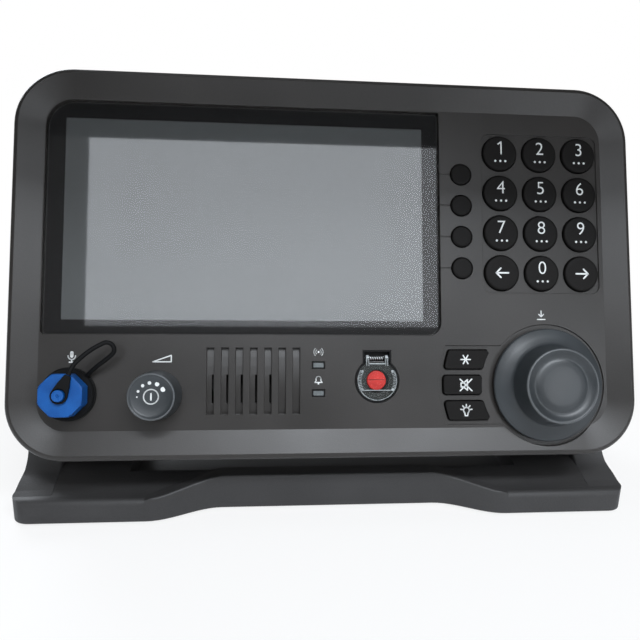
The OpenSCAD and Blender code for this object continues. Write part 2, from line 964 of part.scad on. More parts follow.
module mic_cap() {
    corner = cap_af / 2 / cos(22.5);
    color(blue_c)
        head_place()
            translate([mic_u, mic_v, 0])
                difference() {
                    union() {
                        intersection() {
                            translate([0, 0, cap_back])
                                rotate([0, 0, 22.5])
                                    cylinder(h = cap_h - cap_back, r = corner, $fn = 8);
                            translate([0, 0, cap_back - past])
                                cylinder(h = cap_h - cap_back + past, r1 = corner + 6, r2 = corner - 0.5);
                        }
                        rod(0, 0, cap_h - past, cap_h + cap_pin_h, cap_pin_r);
                    }
                    rod(0, 0, cap_back - past, barrel_top + run_gap, mic_d / 2 + run_gap);
                    rod(0, 0, cap_h + cap_pin_h - 0.6, cap_h + cap_pin_h + past, 0.5);
                }
}

// Speaker

speaker_r = 17.6;
magnet_r = 11;
cone_r = 15;
// Depths of the speaker's rim, basket and magnet behind the face
rim_d = 2.2;
basket_d = 7;
magnet_d = 13;
// Depths of the cone's edge, its dust cap's foot and the cap's middle, and its thickness
cone_edge_d = 0.7;
cone_foot_d = 4.6;
cone_cap_d = 4;
cone_t = 0.9;
cone_foot_r = 4;

module speaker() {
    color(steel_c)
        head_place()
            translate([grille_u, grille_v - 0.6, -face_t])
                rotate_extrude()
                    polygon([
                        [cone_r + 0.6, 0], [speaker_r, 0], [speaker_r, -rim_d], [magnet_r + 1, -basket_d],
                        [magnet_r, -basket_d], [magnet_r, -magnet_d], [0, -magnet_d], [0, -basket_d],
                        [cone_foot_r + 1, -basket_d], [cone_r + 0.6, 0.2 - rim_d]
                    ]);
}

module speaker_cone() {
    color(black_c)
        head_place()
            translate([grille_u, grille_v - 0.6, -face_t])
                rotate_extrude()
                    polygon([
                        [0, -cone_cap_d - cone_t], [cone_foot_r, -cone_foot_d - cone_t],
                        [cone_r, -cone_edge_d - cone_t], [cone_r, -cone_edge_d],
                        [cone_foot_r, -cone_foot_d], [0, -cone_cap_d]
                    ]);
}

module indicator_lenses() {
    color("#8f9492")
        head_place()
            for (v = led_v)
                box_at(led_u, v, board_front + seat_gap, 0.1, led_w, led_h);
}

// Distress button, its well and its cover

module distress_well() {
    color(black_c)
        head_place()
            difference() {
                union() {
                    slab(-well_floor - 1.2, -0.1)
                        keyhole(0);
                    slab(-face_t - 1.2, -face_t)
                        keyhole(1.6);
                }
                slab(-well_floor, past)
                    keyhole(-well_wall);
                rod(well_u, well_v, -face_t - past - 2, 0, button_d / 2 - 1.2);
                cover_axis(notch_w / 2 - 0.2, pin_r + 0.02);
            }
}

// A rod on the cover's hinge axis, to either side of the well's middle.
module cover_axis(half, r) {
    translate([well_u - half, hinge_v, hinge_n])
        rotate([0, 90, 0])
            cylinder(h = 2 * half, r = r);
}

button_top = -1.6;

module distress_button() {
    color("#d8322a")
        head_place()
            translate([well_u, well_v, 0])
                rotate_extrude()
                    polygon(concat(
                        [[0, -face_t - 2.4], [button_d / 2 - 1.5, -face_t - 2.4]],
                        [[button_d / 2 - 1.5, button_top - 1.2]],
                        [[button_d / 2, button_top - 1.2]],
                        arc([button_d / 2 - 0.5, button_top - 0.5], 0.5, 0, 90, 4),
                        [[0, button_top]]
                    ));
}

module distress_switch() {
    color(steel_c)
        head_place()
            box_at(well_u, well_v, board_front, -face_t - 2.4 - button_travel - seat_gap, 6, 6);
}

module distress_cover() {
    chord = -4;
    top_n = 1.3;
    low_n = -0.4;
    color([0.85, 0.87, 0.88, 0.5])
        head_place()
            difference() {
                union() {
                    slab(low_n, low_n + 0.9)
                        translate([well_u, well_v])
                            circle(cover_r);
                    slab(low_n, top_n)
                        translate([well_u, well_v])
                            intersection() {
                                circle(cover_r - 1);
                                translate([-cover_r, chord])
                                    square([2 * cover_r, 2 * cover_r]);
                            }
                    for (s = [-1, 1])
                        cover_ear(s, low_n);
                }
                cover_axis(ear_in, spring_r + spring_wire / 2 + run_gap);
                slab(low_n - past, low_n + 1)
                    translate([well_u, well_v])
                        circle(button_d / 2 + 1);
                cover_axis(notch_w, pin_r + run_gap);
            }
}

module cover_ear(s, low_n) {
    ear_w = ear_out - ear_in;
    ear_r = 1.3;
    translate([well_u + s * (ear_in + ear_out) / 2, 0, 0]) {
        box_at(0, hinge_v - 2.4, low_n, low_n + 0.9, ear_w, 4.8);
        translate([-ear_w / 2, hinge_v, hinge_n])
            rotate([0, 90, 0])
                cylinder(h = ear_w, r = ear_r);
    }
}

module cover_pin() {
    color(steel_c)
        head_place()
            cover_axis(notch_w / 2 - 0.25, pin_r);
}

// Points of the spring's coil on the hinge axis.
spring_path = [
    for (i = [0 : spring_turns * spring_rings])
        let (a = 360 * i / spring_rings)
            [
                well_u + (i / spring_rings - spring_turns / 2) * spring_pitch,
                hinge_v + spring_r * cos(a),
                hinge_n + spring_r * sin(a)
            ]
];

// Least gap between one curl and the next, measured on the points.
spring_gap = min([
    for (i = [0 : len(spring_path) - 1], j = [i + spring_rings - 1 : 1 : len(spring_path) - 1])
        norm(spring_path[i] - spring_path[j]) - spring_wire
]);
echo(spring_gap = spring_gap);

module cover_spring() {
    color(steel_c)
        head_place()
            swept(spring_path, spring_wire, spring_sides, [1, 0, 0]);
}

// Link socket to the transceiver

link_flange_r = 14;
link_flange_t = 2;
// How far the socket's barrel stands out, the depth of its bore and its wall
link_out = 12;
link_bore_d = 3;
link_wall = 2;
// Contacts: one in the middle and six round it
contact_ring_r = 4.5;
contact_r = 0.8;
contact_h = 2;

module link_socket() {
    floor_n = case_back - link_out + link_bore_d;
    color(black_c)
        head_place()
            difference() {
                union() {
                    rod(link_u, link_v, case_back - link_flange_t, case_back, link_flange_r);
                    rod(link_u, link_v, case_back - link_out, case_back + case_wall + link_bore_d, link_r);
                }
                difference() {
                    rod(link_u, link_v, case_back - link_out - past, floor_n, link_r - link_wall);
                    rod(link_u, link_v, floor_n - contact_h, floor_n + past, contact_r);
                    for (i = [0 : 5])
                        rod(link_u + contact_ring_r * cos(i * 60), link_v + contact_ring_r * sin(i * 60),
                            floor_n - contact_h, floor_n + past, contact_r);
                }
            }
}

module earth_stud() {
    color("#b58f42")
        head_place() {
            rod(earth_u, earth_v, case_back - 18, case_back - 2, earth_r);
            translate([earth_u, earth_v, case_back - 7])
                cylinder(h = 4, r = 4.6, $fn = 6);
        }
}

// Base

function curve_y(t) = base_f + set_back * (1 - cos(180 * t)) / 2;

module base_plan() {
    half = base_w / 2;
    rear = base_d / 2;
    right_front = concat(
        [for (i = [0 : curve_steps])
            let (t = 1 - i / curve_steps) [toe_half + (mid_half - toe_half) * t, curve_y(t)]],
        arc([half - plan_r, base_f + plan_r], plan_r, -90, 0)
    );
    left_front = [for (i = [len(right_front) - 1 : -1 : 0]) [-right_front[i][0], right_front[i][1]]];
    polygon(concat(
        right_front,
        arc([half - plan_r, rear - plan_r], plan_r, 0, 90),
        arc([-half + plan_r, rear - plan_r], plan_r, 90, 180),
        left_front
    ));
}

// Extrudes an outline in y and z along x, between two places.
module along_x(x0, x1) {
    translate([x0, 0, 0])
        rotate([90, 0, 90])
            linear_extrude(x1 - x0)
                children();
}

// The same at both ends of the base.
module at_ends(x0, x1) {
    along_x(x0, x1)
        children();
    along_x(-x1, -x0)
        children();
}

// The lip in the middle: its top falls away to the toes on either side.
module lip_section() {
    polygon([
        [-toe_half, 0], [toe_half, 0], [toe_half, toe_h], [mid_half, mid_h],
        [-mid_half, mid_h], [-toe_half, toe_h]
    ]);
}

module tray_section() {
    lip_end = base_f + set_back + lip_t;
    rear = base_d / 2 - rear_lip;
    polygon([[lip_end, mid_h + past], [lip_end + 3, floor_t], [rear, floor_t], [rear, mid_h + past]]);
}

module shoulder_section() {
    rear = base_d / 2;
    polygon(concat(
        [[base_f, 0]],
        arc([base_f + toe_round, toe_h - toe_round], toe_round, 180, 90, 6),
        ramp,
        [[base_f + 22, mid_h - 0.6], [base_f + 27, mid_h]],
        [[rear - rear_lip, mid_h], [rear, toe_h], [rear, 0]]
    ));
}

module end_section() {
    rear = base_d / 2;
    polygon(concat(
        [[base_f, 0]],
        arc([base_f + toe_round, toe_h - toe_round], toe_round, 180, 90, 6),
        [[rear, toe_h], [rear, 0]]
    ));
}

bolt_at = [for (sx = [-1, 1], sy = [-1, 1]) [sx * bolt_dx / 2, sy * bolt_dy / 2]];
pad_at = [for (sx = [-1, 1], sy = [-1, 1]) [sx * (base_w / 2 - 22), sy * (base_d / 2 - 11)]];
arm_mid = (arm_in + arm_out) / 2;
arm_screw_at = [for (sx = [-1, 1], sy = [-1, 1]) [sx * arm_mid, sy * arm_screw_dy / 2]];
arm_head_r = 3.6;
arm_head_t = 3;

module base() {
    end_in = arm_in - seat_gap;
    color(shell_c)
        difference() {
            intersection() {
                linear_extrude(mid_h + past)
                    base_plan();
                union() {
                    along_x(-end_in, end_in)
                        shoulder_section();
                    translate([0, base_f + set_back + lip_t, 0])
                        rotate([90, 0, 0])
                            linear_extrude(set_back + lip_t)
                                lip_section();
                    at_ends(end_in - 0.01, base_w / 2 + past)
                        end_section();
                }
            }
            along_x(-shoulder_in, shoulder_in)
                tray_section();
            for (p = bolt_at)
                rod(p[0], p[1], -past, mid_h + past, bolt_r);
            for (p = pad_at)
                rod(p[0], p[1], -past, pad_sink, pad_r + seat_gap);
            for (p = arm_screw_at) {
                rod(p[0], p[1], -past, arm_head_t + 1, arm_head_r + seat_gap);
                rod(p[0], p[1], -past, mid_h + past, arm_screw_r + 0.2);
            }
        }
}

// Side outline of an arm below its eye: it carries the shoulder's ramp on, then sweeps up.
module arm_outline() {
    polygon(concat(
        ramp,
        [
            [base_f + 19.5, toe_h + 5.0], [base_f + 21.8, toe_h + 6.8], [base_f + 23.6, toe_h + 8.8],
            [base_f + 24.8, toe_h + 11], [base_f + 26.4, toe_h + 15.5], [-28, toe_h + 26], [-23, toe_h + 48],
            [-eye_r + 0.1, pivot_h - 1], [eye_r - 0.1, pivot_h - 1], [21, toe_h + 45], [25, toe_h + 25],
            [33, toe_h + 11], [45, toe_h + 4], [base_d / 2 - 4, toe_h]
        ]
    ));
}

module arm(s) {
    inside = s > 0 ? arm_in : -arm_out;
    color(shell_c)
        difference() {
            union() {
                along_x(inside, inside + arm_t)
                    arm_outline();
                cross_rod(inside, inside + arm_t, eye_r);
            }
            cross_rod(inside - past, inside + arm_t + past, stud_r + run_gap);
            for (p = arm_screw_at)
                rod(p[0], p[1], toe_h - past, toe_h + 7, arm_screw_r + 0.05);
        }
}

// A rod on the tilt axis between two places along x.
module cross_rod(x0, x1, r) {
    translate([x0, 0, pivot_h])
        rotate([0, 90, 0])
            cylinder(h = x1 - x0, r = r);
}

module arm_screws() {
    color(steel_c)
        for (p = arm_screw_at) {
            rod(p[0], p[1], 1, arm_head_t + 1, arm_head_r);
            rod(p[0], p[1], arm_head_t, toe_h + 6.5, arm_screw_r);
        }
}

module rubber_pads() {
    color(black_c)
        for (p = pad_at)
            rod(p[0], p[1], pad_sink - pad_t, pad_sink, pad_r);
}

module friction_washers() {
    color(black_c)
        for (s = [-1, 1])
            translate([s * (arm_in - washer_t / 2), 0, pivot_h])
                rotate([0, 90, 0])
                    difference() {
                        cylinder(h = washer_t, r = washer_r, center = true);
                        cylinder(h = washer_t + 2 * past, r = stud_r + run_gap, center = true);
                    }
}

lobe_count = 6;
lobe_r = 4;
stud_end = case_w / 2 - 11;

// A clamp knob with lobes round its rim and a stud that screws into the case.
module clamp_knob(s) {
    inside = arm_out + run_gap;
    color(black_c)
        translate([0, 0, pivot_h])
            rotate([0, s * 90, 0]) {
                difference() {
                    translate([0, 0, inside])
                        cylinder(h = clamp_t, r = clamp_r);
                    for (i = [0 : lobe_count - 1])
                        rotate([0, 0, 360 * (i + 0.5) / lobe_count])
                            translate([clamp_r + 1, 0, inside - past])
                                cylinder(h = clamp_t + 2 * past, r = lobe_r);
                }
                translate([0, 0, stud_end])
                    cylinder(h = inside + past - stud_end, r = stud_r);
            }
}

base();
arm(-1);  // left_arm
arm(1);  // right_arm
arm_screws();
rubber_pads();
friction_washers();
clamp_knob(-1);  // left_clamp_knob
clamp_knob(1);  // right_clamp_knob
front_bezel();
rear_case();
case_gasket();
case_screws();
window_glass();
display_module();
key_mat();
key_board();
main_board();
round_key(key_u(0), key_v(0), key_d);  // key_1
round_key(key_u(1), key_v(1), key_d);  // key_2
round_key(key_u(2), key_v(2), key_d);  // key_3
round_key(key_u(3), key_v(3), key_d);  // key_4
round_key(key_u(4), key_v(4), key_d);  // key_5
round_key(key_u(5), key_v(5), key_d);  // key_6
round_key(key_u(6), key_v(6), key_d);  // key_7
round_key(key_u(7), key_v(7), key_d);  // key_8
round_key(key_u(8), key_v(8), key_d);  // key_9
round_key(key_u(9), key_v(9), key_d);  // key_left
round_key(key_u(10), key_v(10), key_d);  // key_0
round_key(key_u(11), key_v(11), key_d);  // key_right
round_key(soft_u, soft_row(0), soft_d);  // soft_key_1
round_key(soft_u, soft_row(1), soft_d);  // soft_key_2
round_key(soft_u, soft_row(2), soft_d);  // soft_key_3
round_key(soft_u, soft_row(3), soft_d);  // soft_key_4
side_key(1);  // side_key_top
side_key(0);  // side_key_mute
side_key(-1);  // side_key_lamp
bush_control(tune_u, tune_v);  // tuning_encoder
plunger(tune_u, tune_v);  // tuning_plunger
control_shaft(tune_u, tune_v, tune_socket);  // tuning_shaft
tuning_knob();
bush_control(vol_u, vol_v);  // volume_control
plunger(vol_u, vol_v);  // volume_plunger
control_shaft(vol_u, vol_v, vol_socket);  // volume_shaft
volume_knob();
mic_socket();
mic_nut();
cap_strap();
strap_eye();
mic_cap();
speaker();
speaker_cone();
indicator_lenses();
distress_well();
distress_button();
distress_switch();
distress_cover();
cover_pin();
cover_spring();
link_socket();
earth_stud();
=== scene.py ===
"""Dresses the control head of a marine radio on its tilting desk base."""

import logging
import math
from collections.abc import Callable, Sequence
from dataclasses import dataclass
from enum import Enum

import bmesh
import bpy
from mathutils import Matrix, Vector


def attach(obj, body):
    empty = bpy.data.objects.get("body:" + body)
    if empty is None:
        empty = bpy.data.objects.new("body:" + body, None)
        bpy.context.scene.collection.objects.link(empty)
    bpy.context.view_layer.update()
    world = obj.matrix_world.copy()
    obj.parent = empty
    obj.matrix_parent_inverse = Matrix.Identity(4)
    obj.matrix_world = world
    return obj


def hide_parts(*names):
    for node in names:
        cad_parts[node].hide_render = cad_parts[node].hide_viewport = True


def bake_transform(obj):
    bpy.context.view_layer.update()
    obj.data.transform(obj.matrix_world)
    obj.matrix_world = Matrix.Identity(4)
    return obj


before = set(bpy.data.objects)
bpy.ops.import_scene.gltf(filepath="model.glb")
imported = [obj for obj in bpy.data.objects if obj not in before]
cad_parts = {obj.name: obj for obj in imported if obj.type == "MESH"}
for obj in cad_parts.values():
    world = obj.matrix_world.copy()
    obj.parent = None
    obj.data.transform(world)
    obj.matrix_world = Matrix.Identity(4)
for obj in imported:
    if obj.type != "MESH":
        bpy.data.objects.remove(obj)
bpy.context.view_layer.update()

LOG = logging.getLogger("radio_head")
MM = 0.001
# Points closer than this are one: in metres for CAD meshes, in millimetres for parts made here.
CAD_WELD = 2e-6
PART_WELD = 1e-4
# Noise value up to which a finish keeps its dark colour, and the usual span of the blotch noise.
DARK_UNTIL = 0.45
BLOTCH_SPAN = (0.3, 0.7)
WHITE = (1.0, 1.0, 1.0, 1.0)
Point = tuple[float, float, float]
Flat = tuple[float, float]
Bmesh = bmesh.types.BMesh


class Shape(Enum):
    """How far the edges of a carried-over solid are softened, in millimetres."""

    CRISP = 0.12
    MOULDED = 0.3
    CAST = 0.7


class Mark(Enum):
    """Printed signs that a key or the face can carry."""

    LEFT = "left"
    RIGHT = "right"
    STAR = "star"
    MUTE = "mute"
    LAMP = "lamp"
    MICROPHONE = "microphone"
    VOLUME = "volume"
    WAVES = "waves"
    BELL = "bell"
    PUSH = "push"


@dataclass(frozen=True)
class PanelFrame:
    """The tilted frame of the front panel: u right, v up, n out of the face, in millimetres."""

    lean: float = math.radians(18.0)
    pivot_height: float = 90.5
    pivot_depth: float = 40.0
    pivot_drop: float = 6.0

    def matrix(self) -> Matrix:
        """Works out how the panel stands in the world.

        Returns:
            The transform from panel millimetres to world metres.
        """
        return (
            Matrix.Scale(MM, 4)
            @ Matrix.Translation((0, 0, self.pivot_height))
            @ Matrix.Rotation(math.pi / 2 - self.lean, 4, "X")
            @ Matrix.Translation((0, self.pivot_drop, self.pivot_depth))
        )

    def place(self, point: Sequence[float]) -> Vector:
        """Returns a panel point as a world point in metres."""
        return self.matrix() @ Vector(point)

    def turn(self, direction: Sequence[float]) -> Vector:
        """Returns a panel direction as a unit world direction."""
        return (self.matrix().to_3x3() @ Vector(direction)).normalized()


PANEL = PanelFrame()


def linear(hex_colour: str) -> tuple[float, float, float, float]:
    """Turns an sRGB hex colour into linear values.

    Args:
        hex_colour: Six hex digits, with or without a leading hash.

    Returns:
        Red, green, blue and an alpha of one.
    """
    digits = hex_colour.lstrip("#")
    parts = [int(digits[i : i + 2], 16) / 255 for i in (0, 2, 4)]
    flat = [c / 12.92 if c <= 0.04045 else ((c + 0.055) / 1.055) ** 2.4 for c in parts]
    return flat[0], flat[1], flat[2], 1.0


def put(name: str, data: bpy.types.ID) -> bpy.types.Object:
    """Puts some data into the scene as a new object.

    Args:
        name: Name of the object.
        data: The mesh, lamp or camera that it shows.

    Returns:
        The new object.
    """
    item = bpy.data.objects.new(name, data)
    bpy.context.collection.objects.link(item)
    return item


def as_mesh(name: str, bm: Bmesh) -> bpy.types.Mesh:
    """Turns a bmesh into a mesh and frees it.

    Args:
        name: Name of the mesh.
        bm: The bmesh.

    Returns:
        The new mesh.
    """
    mesh = bpy.data.meshes.new(name)
    bm.to_mesh(mesh)
    bm.free()
    return mesh


def clear_tree(owner: bpy.types.Material | bpy.types.World) -> bpy.types.NodeTree:
    """Empties the node tree of a material or a world.

    Args:
        owner: The material or world.

    Returns:
        Its node tree.
    """
    owner.use_nodes = True
    owner.node_tree.nodes.clear()
    return owner.node_tree


def add_node(
    tree: bpy.types.NodeTree,
    kind: str,
    values: dict | None = None,
    links: dict | None = None,
    **settings: object,
) -> bpy.types.Node:
    """Adds one node with its settings, socket values and incoming links.

    Args:
        tree: The node tree that takes the node.
        kind: Blender's type name of the node, without the word ShaderNode before it.
        values: Socket name or index to a fixed value.
        links: Socket name or index to the output socket that feeds it.
        **settings: Properties of the node itself.

    Returns:
        The new node.
    """
    node = tree.nodes.new(f"ShaderNode{kind}")
    for name, value in settings.items():
        setattr(node, name, value)
    for name, value in (values or {}).items():
        node.inputs[name].default_value = value
    for name, socket in (links or {}).items():
        tree.links.new(socket, node.inputs[name])
    return node


@dataclass(frozen=True)
class Finish:
    """A surface finish with a grain in its colour, gloss and relief.

    The grain's width is in millimetres, and its colour runs from the dark to the light hex value.
    """

    name: str
    dark: str
    light: str
    roughness: float = 0.5
    roughness_spread: float = 0.08
    grain_mm: float = 0.6
    blotch_mm: float = 30.0
    relief: float = 0.06
    metallic: float = 0.0
    ior: float = 1.48
    alpha: float = 1.0
    coat: float = 0.0
    coat_ior: float = 1.5

    def material(self) -> bpy.types.Material:
        """Builds the finish, the first time that it is asked for.

        Returns:
            Its material.
        """
        found = bpy.data.materials.get(self.name)
        if found:
            return found
        material = bpy.data.materials.new(self.name)
        tree = clear_tree(material)
        where = add_node(tree, "TexCoord").outputs["Object"]
        fine = {"Scale": 1 / (self.grain_mm * MM), "Detail": 3.0, "Roughness": 0.6}
        grain = add_node(tree, "TexNoise", fine, {"Vector": where})
        broad = {"Scale": 1 / (self.blotch_mm * MM), "Detail": 2.0}
        blotch = add_node(tree, "TexNoise", broad, {"Vector": where})
        noises = {0: grain.outputs[0], 2: blotch.outputs[0]}
        mixed = add_node(tree, "Math", {1: 0.5}, noises, operation="MULTIPLY_ADD")
        ramp = add_node(tree, "ValToRGB", links={0: mixed.outputs[0]})
        dark, light = ramp.color_ramp.elements
        dark.position, dark.color = DARK_UNTIL, linear(self.dark)
        light.position, light.color = 1.0, linear(self.light)
        span = {
            "From Min": BLOTCH_SPAN[0],
            "From Max": BLOTCH_SPAN[1],
            "To Min": self.roughness - self.roughness_spread,
            "To Max": self.roughness + self.roughness_spread,
        }
        gloss = add_node(tree, "MapRange", span, {"Value": blotch.outputs[0]})
        rise = {"Strength": self.relief, "Distance": self.grain_mm * MM}
        bump = add_node(tree, "Bump", rise, {"Height": grain.outputs[0]})
        levels = {"Metallic": self.metallic, "Alpha": self.alpha}
        levels |= {"Coat Weight": self.coat, "Coat IOR": self.coat_ior}
        if not self.metallic:
            levels["IOR"] = self.ior
        maps = {"Base Color": ramp.outputs[0], "Roughness": gloss.outputs[0], "Normal": bump.outputs[0]}
        shader = add_node(tree, "BsdfPrincipled", levels, maps)
        add_node(tree, "OutputMaterial", links={"Surface": shader.outputs[0]})
        return material


# Moulded ABS with a fine spark texture: a soft broad sheen over warm dark grey.
SHELL_ABS = Finish("textured_abs_shell", "#22201e", "#2f2c2a", 0.38, 0.04, 0.55, 45, 0.06, ior=1.45)
# The same ABS on the knobs, finer and a little glossier.
KNOB_ABS = Finish("satin_abs_knob", "#272a2c", "#33373a", 0.36, 0.04, 0.4, 20, 0.05)
# The knobs' rims in a lighter grey: a painted highlight for the light that their edges catch.
RIM_HIGHLIGHT_ABS = Finish("painted_rim_highlight_abs", "#4a4d4f", "#585b5d", 0.38, 0.05, 0.4, 6, 0.04)
# Powder-coated cast aluminium: matt dark grey with a slight orange peel.
COATED_ALUMINIUM = Finish("powder_coated_aluminium", "#2b2a2a", "#383737", 0.55, 0.05, 0.8, 50, 0.12)
# Coated silicone rubber of the keys: near black, smooth and matt.
KEY_RUBBER = Finish("coated_silicone_key", "#0b0a09", "#141211", 0.6, 0.05, 0.35, 12, 0.04, ior=1.24)
# Plain moulded rubber.
BLACK_RUBBER = Finish("moulded_rubber", "#060606", "#0c0c0d", 0.65, 0.06, 0.5, 10, 0.10, ior=1.25)
# Black nylon of sockets and the well.
BLACK_NYLON = Finish("black_nylon", "#080808", "#0f0f10", 0.5, 0.06, 0.4, 10, 0.05, ior=1.3)
# Blue nylon of the cap: saturated, with a waxy sheen.
BLUE_NYLON = Finish("blue_nylon", "#053d7c", "#0d549b", 0.45, 0.05, 0.5, 8, 0.06, ior=1.36)
# Red acetal of the distress button.
RED_ACETAL = Finish("red_acetal", "#ac221d", "#c4302a", 0.45, 0.04, 0.3, 5, 0.02, ior=1.35)
# The parting line across the button.
DARK_ACETAL = Finish("dark_red_acetal", "#5e100c", "#741812", 0.5, 0.04, 0.3, 5, 0.02, ior=1.35)
# Clear polycarbonate of the cover, slightly frosted by handling.
CLEAR_POLYCARBONATE = Finish("clear_polycarbonate", "#7f8480", "#a3a8a4", 0.2, 0.05, 0.5, 4, 0.0, alpha=0.06)
# Opaque light grey on the clear cover's edges, ears, ribs and corners: painted highlights for the light that
# they catch.
COVER_HIGHLIGHT_POLYCARBONATE = Finish("painted_highlight_polycarbonate", "#707577", "#b2b7b8", 0.25, 0.05, 0.35, 1.2, 0.03)
# Toughened glass of the window, whose reflections the coats of ink and film below carry.
WINDOW_GLASS = Finish("toughened_glass", "#1b1c1e", "#222426", 0.04, 0.01, 1.0, 60, 0.0, ior=1.52, alpha=0.06)
# Enamel ink printed behind the glass.
BORDER_INK = Finish("black_enamel_ink", "#0b0a0a", "#110f0f", 0.5, 0.03, 0.5, 40, 0.0, ior=1.25, coat=0.9)
# White print on keys and face.
WHITE_INK = Finish("white_print_ink", "#c6c8c7", "#dcdedd", 0.55, 0.05, 0.4, 6, 0.0)
# Grey diffused lenses of the lamps.
LENS_RESIN = Finish("diffused_lens_resin", "#555a5b", "#666b6c", 0.35, 0.04, 0.4, 3, 0.02)
# Zinc-plated steel of screws, springs and frames.
ZINC_STEEL = Finish("zinc_plated_steel", "#9d9fa0", "#b9bbbc", 0.32, 0.06, 0.3, 6, 0.05, metallic=1.0)
# Drawn nickel-plated wire of the cover's spring.
NICKEL_WIRE = Finish("nickel_plated_wire", "#c4c7c8", "#dfe2e3", 0.45, 0.05, 0.2, 3, 0.03, metallic=1.0)
# Black paint over the speaker's pressed steel.
PAINTED_STEEL = Finish("black_painted_steel", "#0a0a0a", "#131313", 0.5, 0.06, 0.5, 8, 0.06)
# Turned brass of the earth stud.
TURNED_BRASS = Finish("turned_brass", "#a8863f", "#c8a55a", 0.3, 0.05, 0.3, 4, 0.06, metallic=1.0)
# Solder mask over glass-fibre board.
SOLDER_MASK = Finish("green_solder_mask", "#11452a", "#1d6039", 0.4, 0.06, 1.2, 12, 0.05)
# Treated paper of the speaker's cone.
CONE_PAPER = Finish("treated_cone_paper", "#181716", "#26231f", 0.8, 0.05, 0.6, 6, 0.15)
# Liquid-crystal panel under its polariser: flat grey, faintly cloudy.
LCD_FILM = Finish("lcd_polariser_film", "#3d4040", "#474a4a", 0.5, 0.04, 4.0, 70, 0.0, coat=1.0, coat_ior=1.8)


def rounded_outline(w: float, h: float, radii: Sequence[float], steps: int = 10) -> list[Flat]:
    """Returns the outline of a rounded rectangle about the origin.

    Args:
        w: Full width.
        h: Full height.
        radii: Corner radii from the upper right, anticlockwise.
        steps: Segments in each corner.

    Returns:
        Points, anticlockwise.
    """
    out: list[Flat] = []
    for i, (su, sv) in enumerate(((1, 1), (-1, 1), (-1, -1), (1, -1))):
        r = radii[i]
        for k in range(steps + 1):
            a = math.pi / 2 * (i + k / steps)
            out.append((su * (w / 2 - r) + r * math.cos(a), sv * (h / 2 - r) + r * math.sin(a)))
    return out


class Builder:
    """Collects the parts of one piece in the panel's frame and turns them into an object."""

    def __init__(self) -> None:
        """Starts an empty piece."""
        self.bm = bmesh.new()

    def carry(self, node: str) -> None:
        """Takes over the mesh of a CAD node.

        Args:
            node: Name of the node.
        """
        self.bm.from_mesh(bpy.data.objects[node].data)
        bmesh.ops.remove_doubles(self.bm, verts=self.bm.verts, dist=CAD_WELD)
        bmesh.ops.transform(self.bm, matrix=PANEL.matrix().inverted(), verts=self.bm.verts)

    def part(self, make: Callable[..., None], *values: object, index: int = 0) -> None:
        """Adds a part made in its own bmesh.

        Args:
            make: Fills an empty bmesh with the part.
            *values: What it takes besides the bmesh.
            index: Material slot of its faces.
        """
        own = bmesh.new()
        make(own, *values)
        bmesh.ops.remove_doubles(own, verts=own.verts, dist=PART_WELD)
        bmesh.ops.recalc_face_normals(own, faces=own.faces)
        for face in own.faces:
            face.material_index = index
        mesh = as_mesh("part", own)
        self.bm.from_mesh(mesh)
        bpy.data.meshes.remove(mesh)

    def finish(
        self,
        name: str,
        body: str,
        finishes: Sequence[Finish],
        slot: str,
        replaces: Sequence[str] = (),
        angle: float = 35.0,
    ) -> bpy.types.Object:
        """Makes the object, hangs it on its body and hides the CAD nodes that it stands for.

        Args:
            name: Name of the piece.
            body: Body that it rides on.
            finishes: One finish for each material index.
            slot: Not used.
            replaces: CAD nodes that it stands for.
            angle: Edges sharper than this, in degrees, stay sharp.

        Returns:
            The new object.
        """
        bmesh.ops.transform(self.bm, matrix=PANEL.matrix(), verts=self.bm.verts)
        mesh = as_mesh(name, self.bm)
        for finish in finishes:
            mesh.materials.append(finish.material())
        mesh.shade_smooth()
        mesh.set_sharp_from_angle(angle=math.radians(angle))
        piece = put(name, mesh)
        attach(piece, body)
        if replaces:
            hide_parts(*replaces)
        LOG.info("%s: %d faces on %s", name, len(mesh.polygons), body)
        return piece


def spun(bm: Bmesh, profile: Sequence[Flat], centre: Flat, steps: int = 64) -> None:
    """Makes a turned part about the n axis.

    Args:
        bm: The bmesh that takes it.
        profile: Radius and height of each point, in order.
        centre: Place of the axis.
        steps: Segments round it.
    """
    u, v = centre
    verts = [bm.verts.new((u + r, v, n)) for r, n in profile]
    edges = [bm.edges.new(pair) for pair in zip(verts, verts[1:])]
    about = {"cent": (u, v, 0), "axis": (0, 0, 1), "angle": math.tau}
    bmesh.ops.spin(bm, geom=verts + edges, steps=steps, use_merge=True, **about)


def plate(bm: Bmesh, outline: Sequence[Flat], layer: Flat, bevel: float = 0.0, segments: int = 2) -> None:
    """Makes a flat plate from an outline, with a rounded front edge.

    Args:
        bm: The bmesh that takes it.
        outline: Points of the outline.
        layer: Heights of its back and front.
        bevel: Radius of the front edge.
        segments: Segments in that radius.
    """
    back, front = layer
    base = bm.faces.new([bm.verts.new((u, v, back)) for u, v in outline])
    out = bmesh.ops.extrude_face_region(bm, geom=[base], use_keep_orig=True)
    top = [g for g in out["geom"] if isinstance(g, bmesh.types.BMVert)]
    bmesh.ops.translate(bm, vec=(0, 0, front - back), verts=top)
    if bevel:
        rim = [e for e in bm.edges if all(abs(v.co.z - front) < 1e-5 for v in e.verts)]
        form = {"profile": 0.5, "affect": "EDGES", "material": -1, "clamp_overlap": True}
        bmesh.ops.bevel(bm, geom=rim, offset=bevel, segments=segments, **form)


def disc(bm: Bmesh, at: Flat, r: float, layer: Flat, steps: int = 20) -> None:
    """Makes a short closed rod along n, as a cone of one radius.

    Args:
        bm: The bmesh that takes it.
        at: Its middle.
        r: Its radius.
        layer: Heights of its back and front.
        steps: Sides of the round.
    """
    back, front = layer
    place = Matrix.Translation((*at, (back + front) / 2))
    form = {"cap_ends": True, "cap_tris": False, "segments": steps, "radius1": r, "radius2": r}
    bmesh.ops.create_cone(bm, depth=front - back, matrix=place, **form)


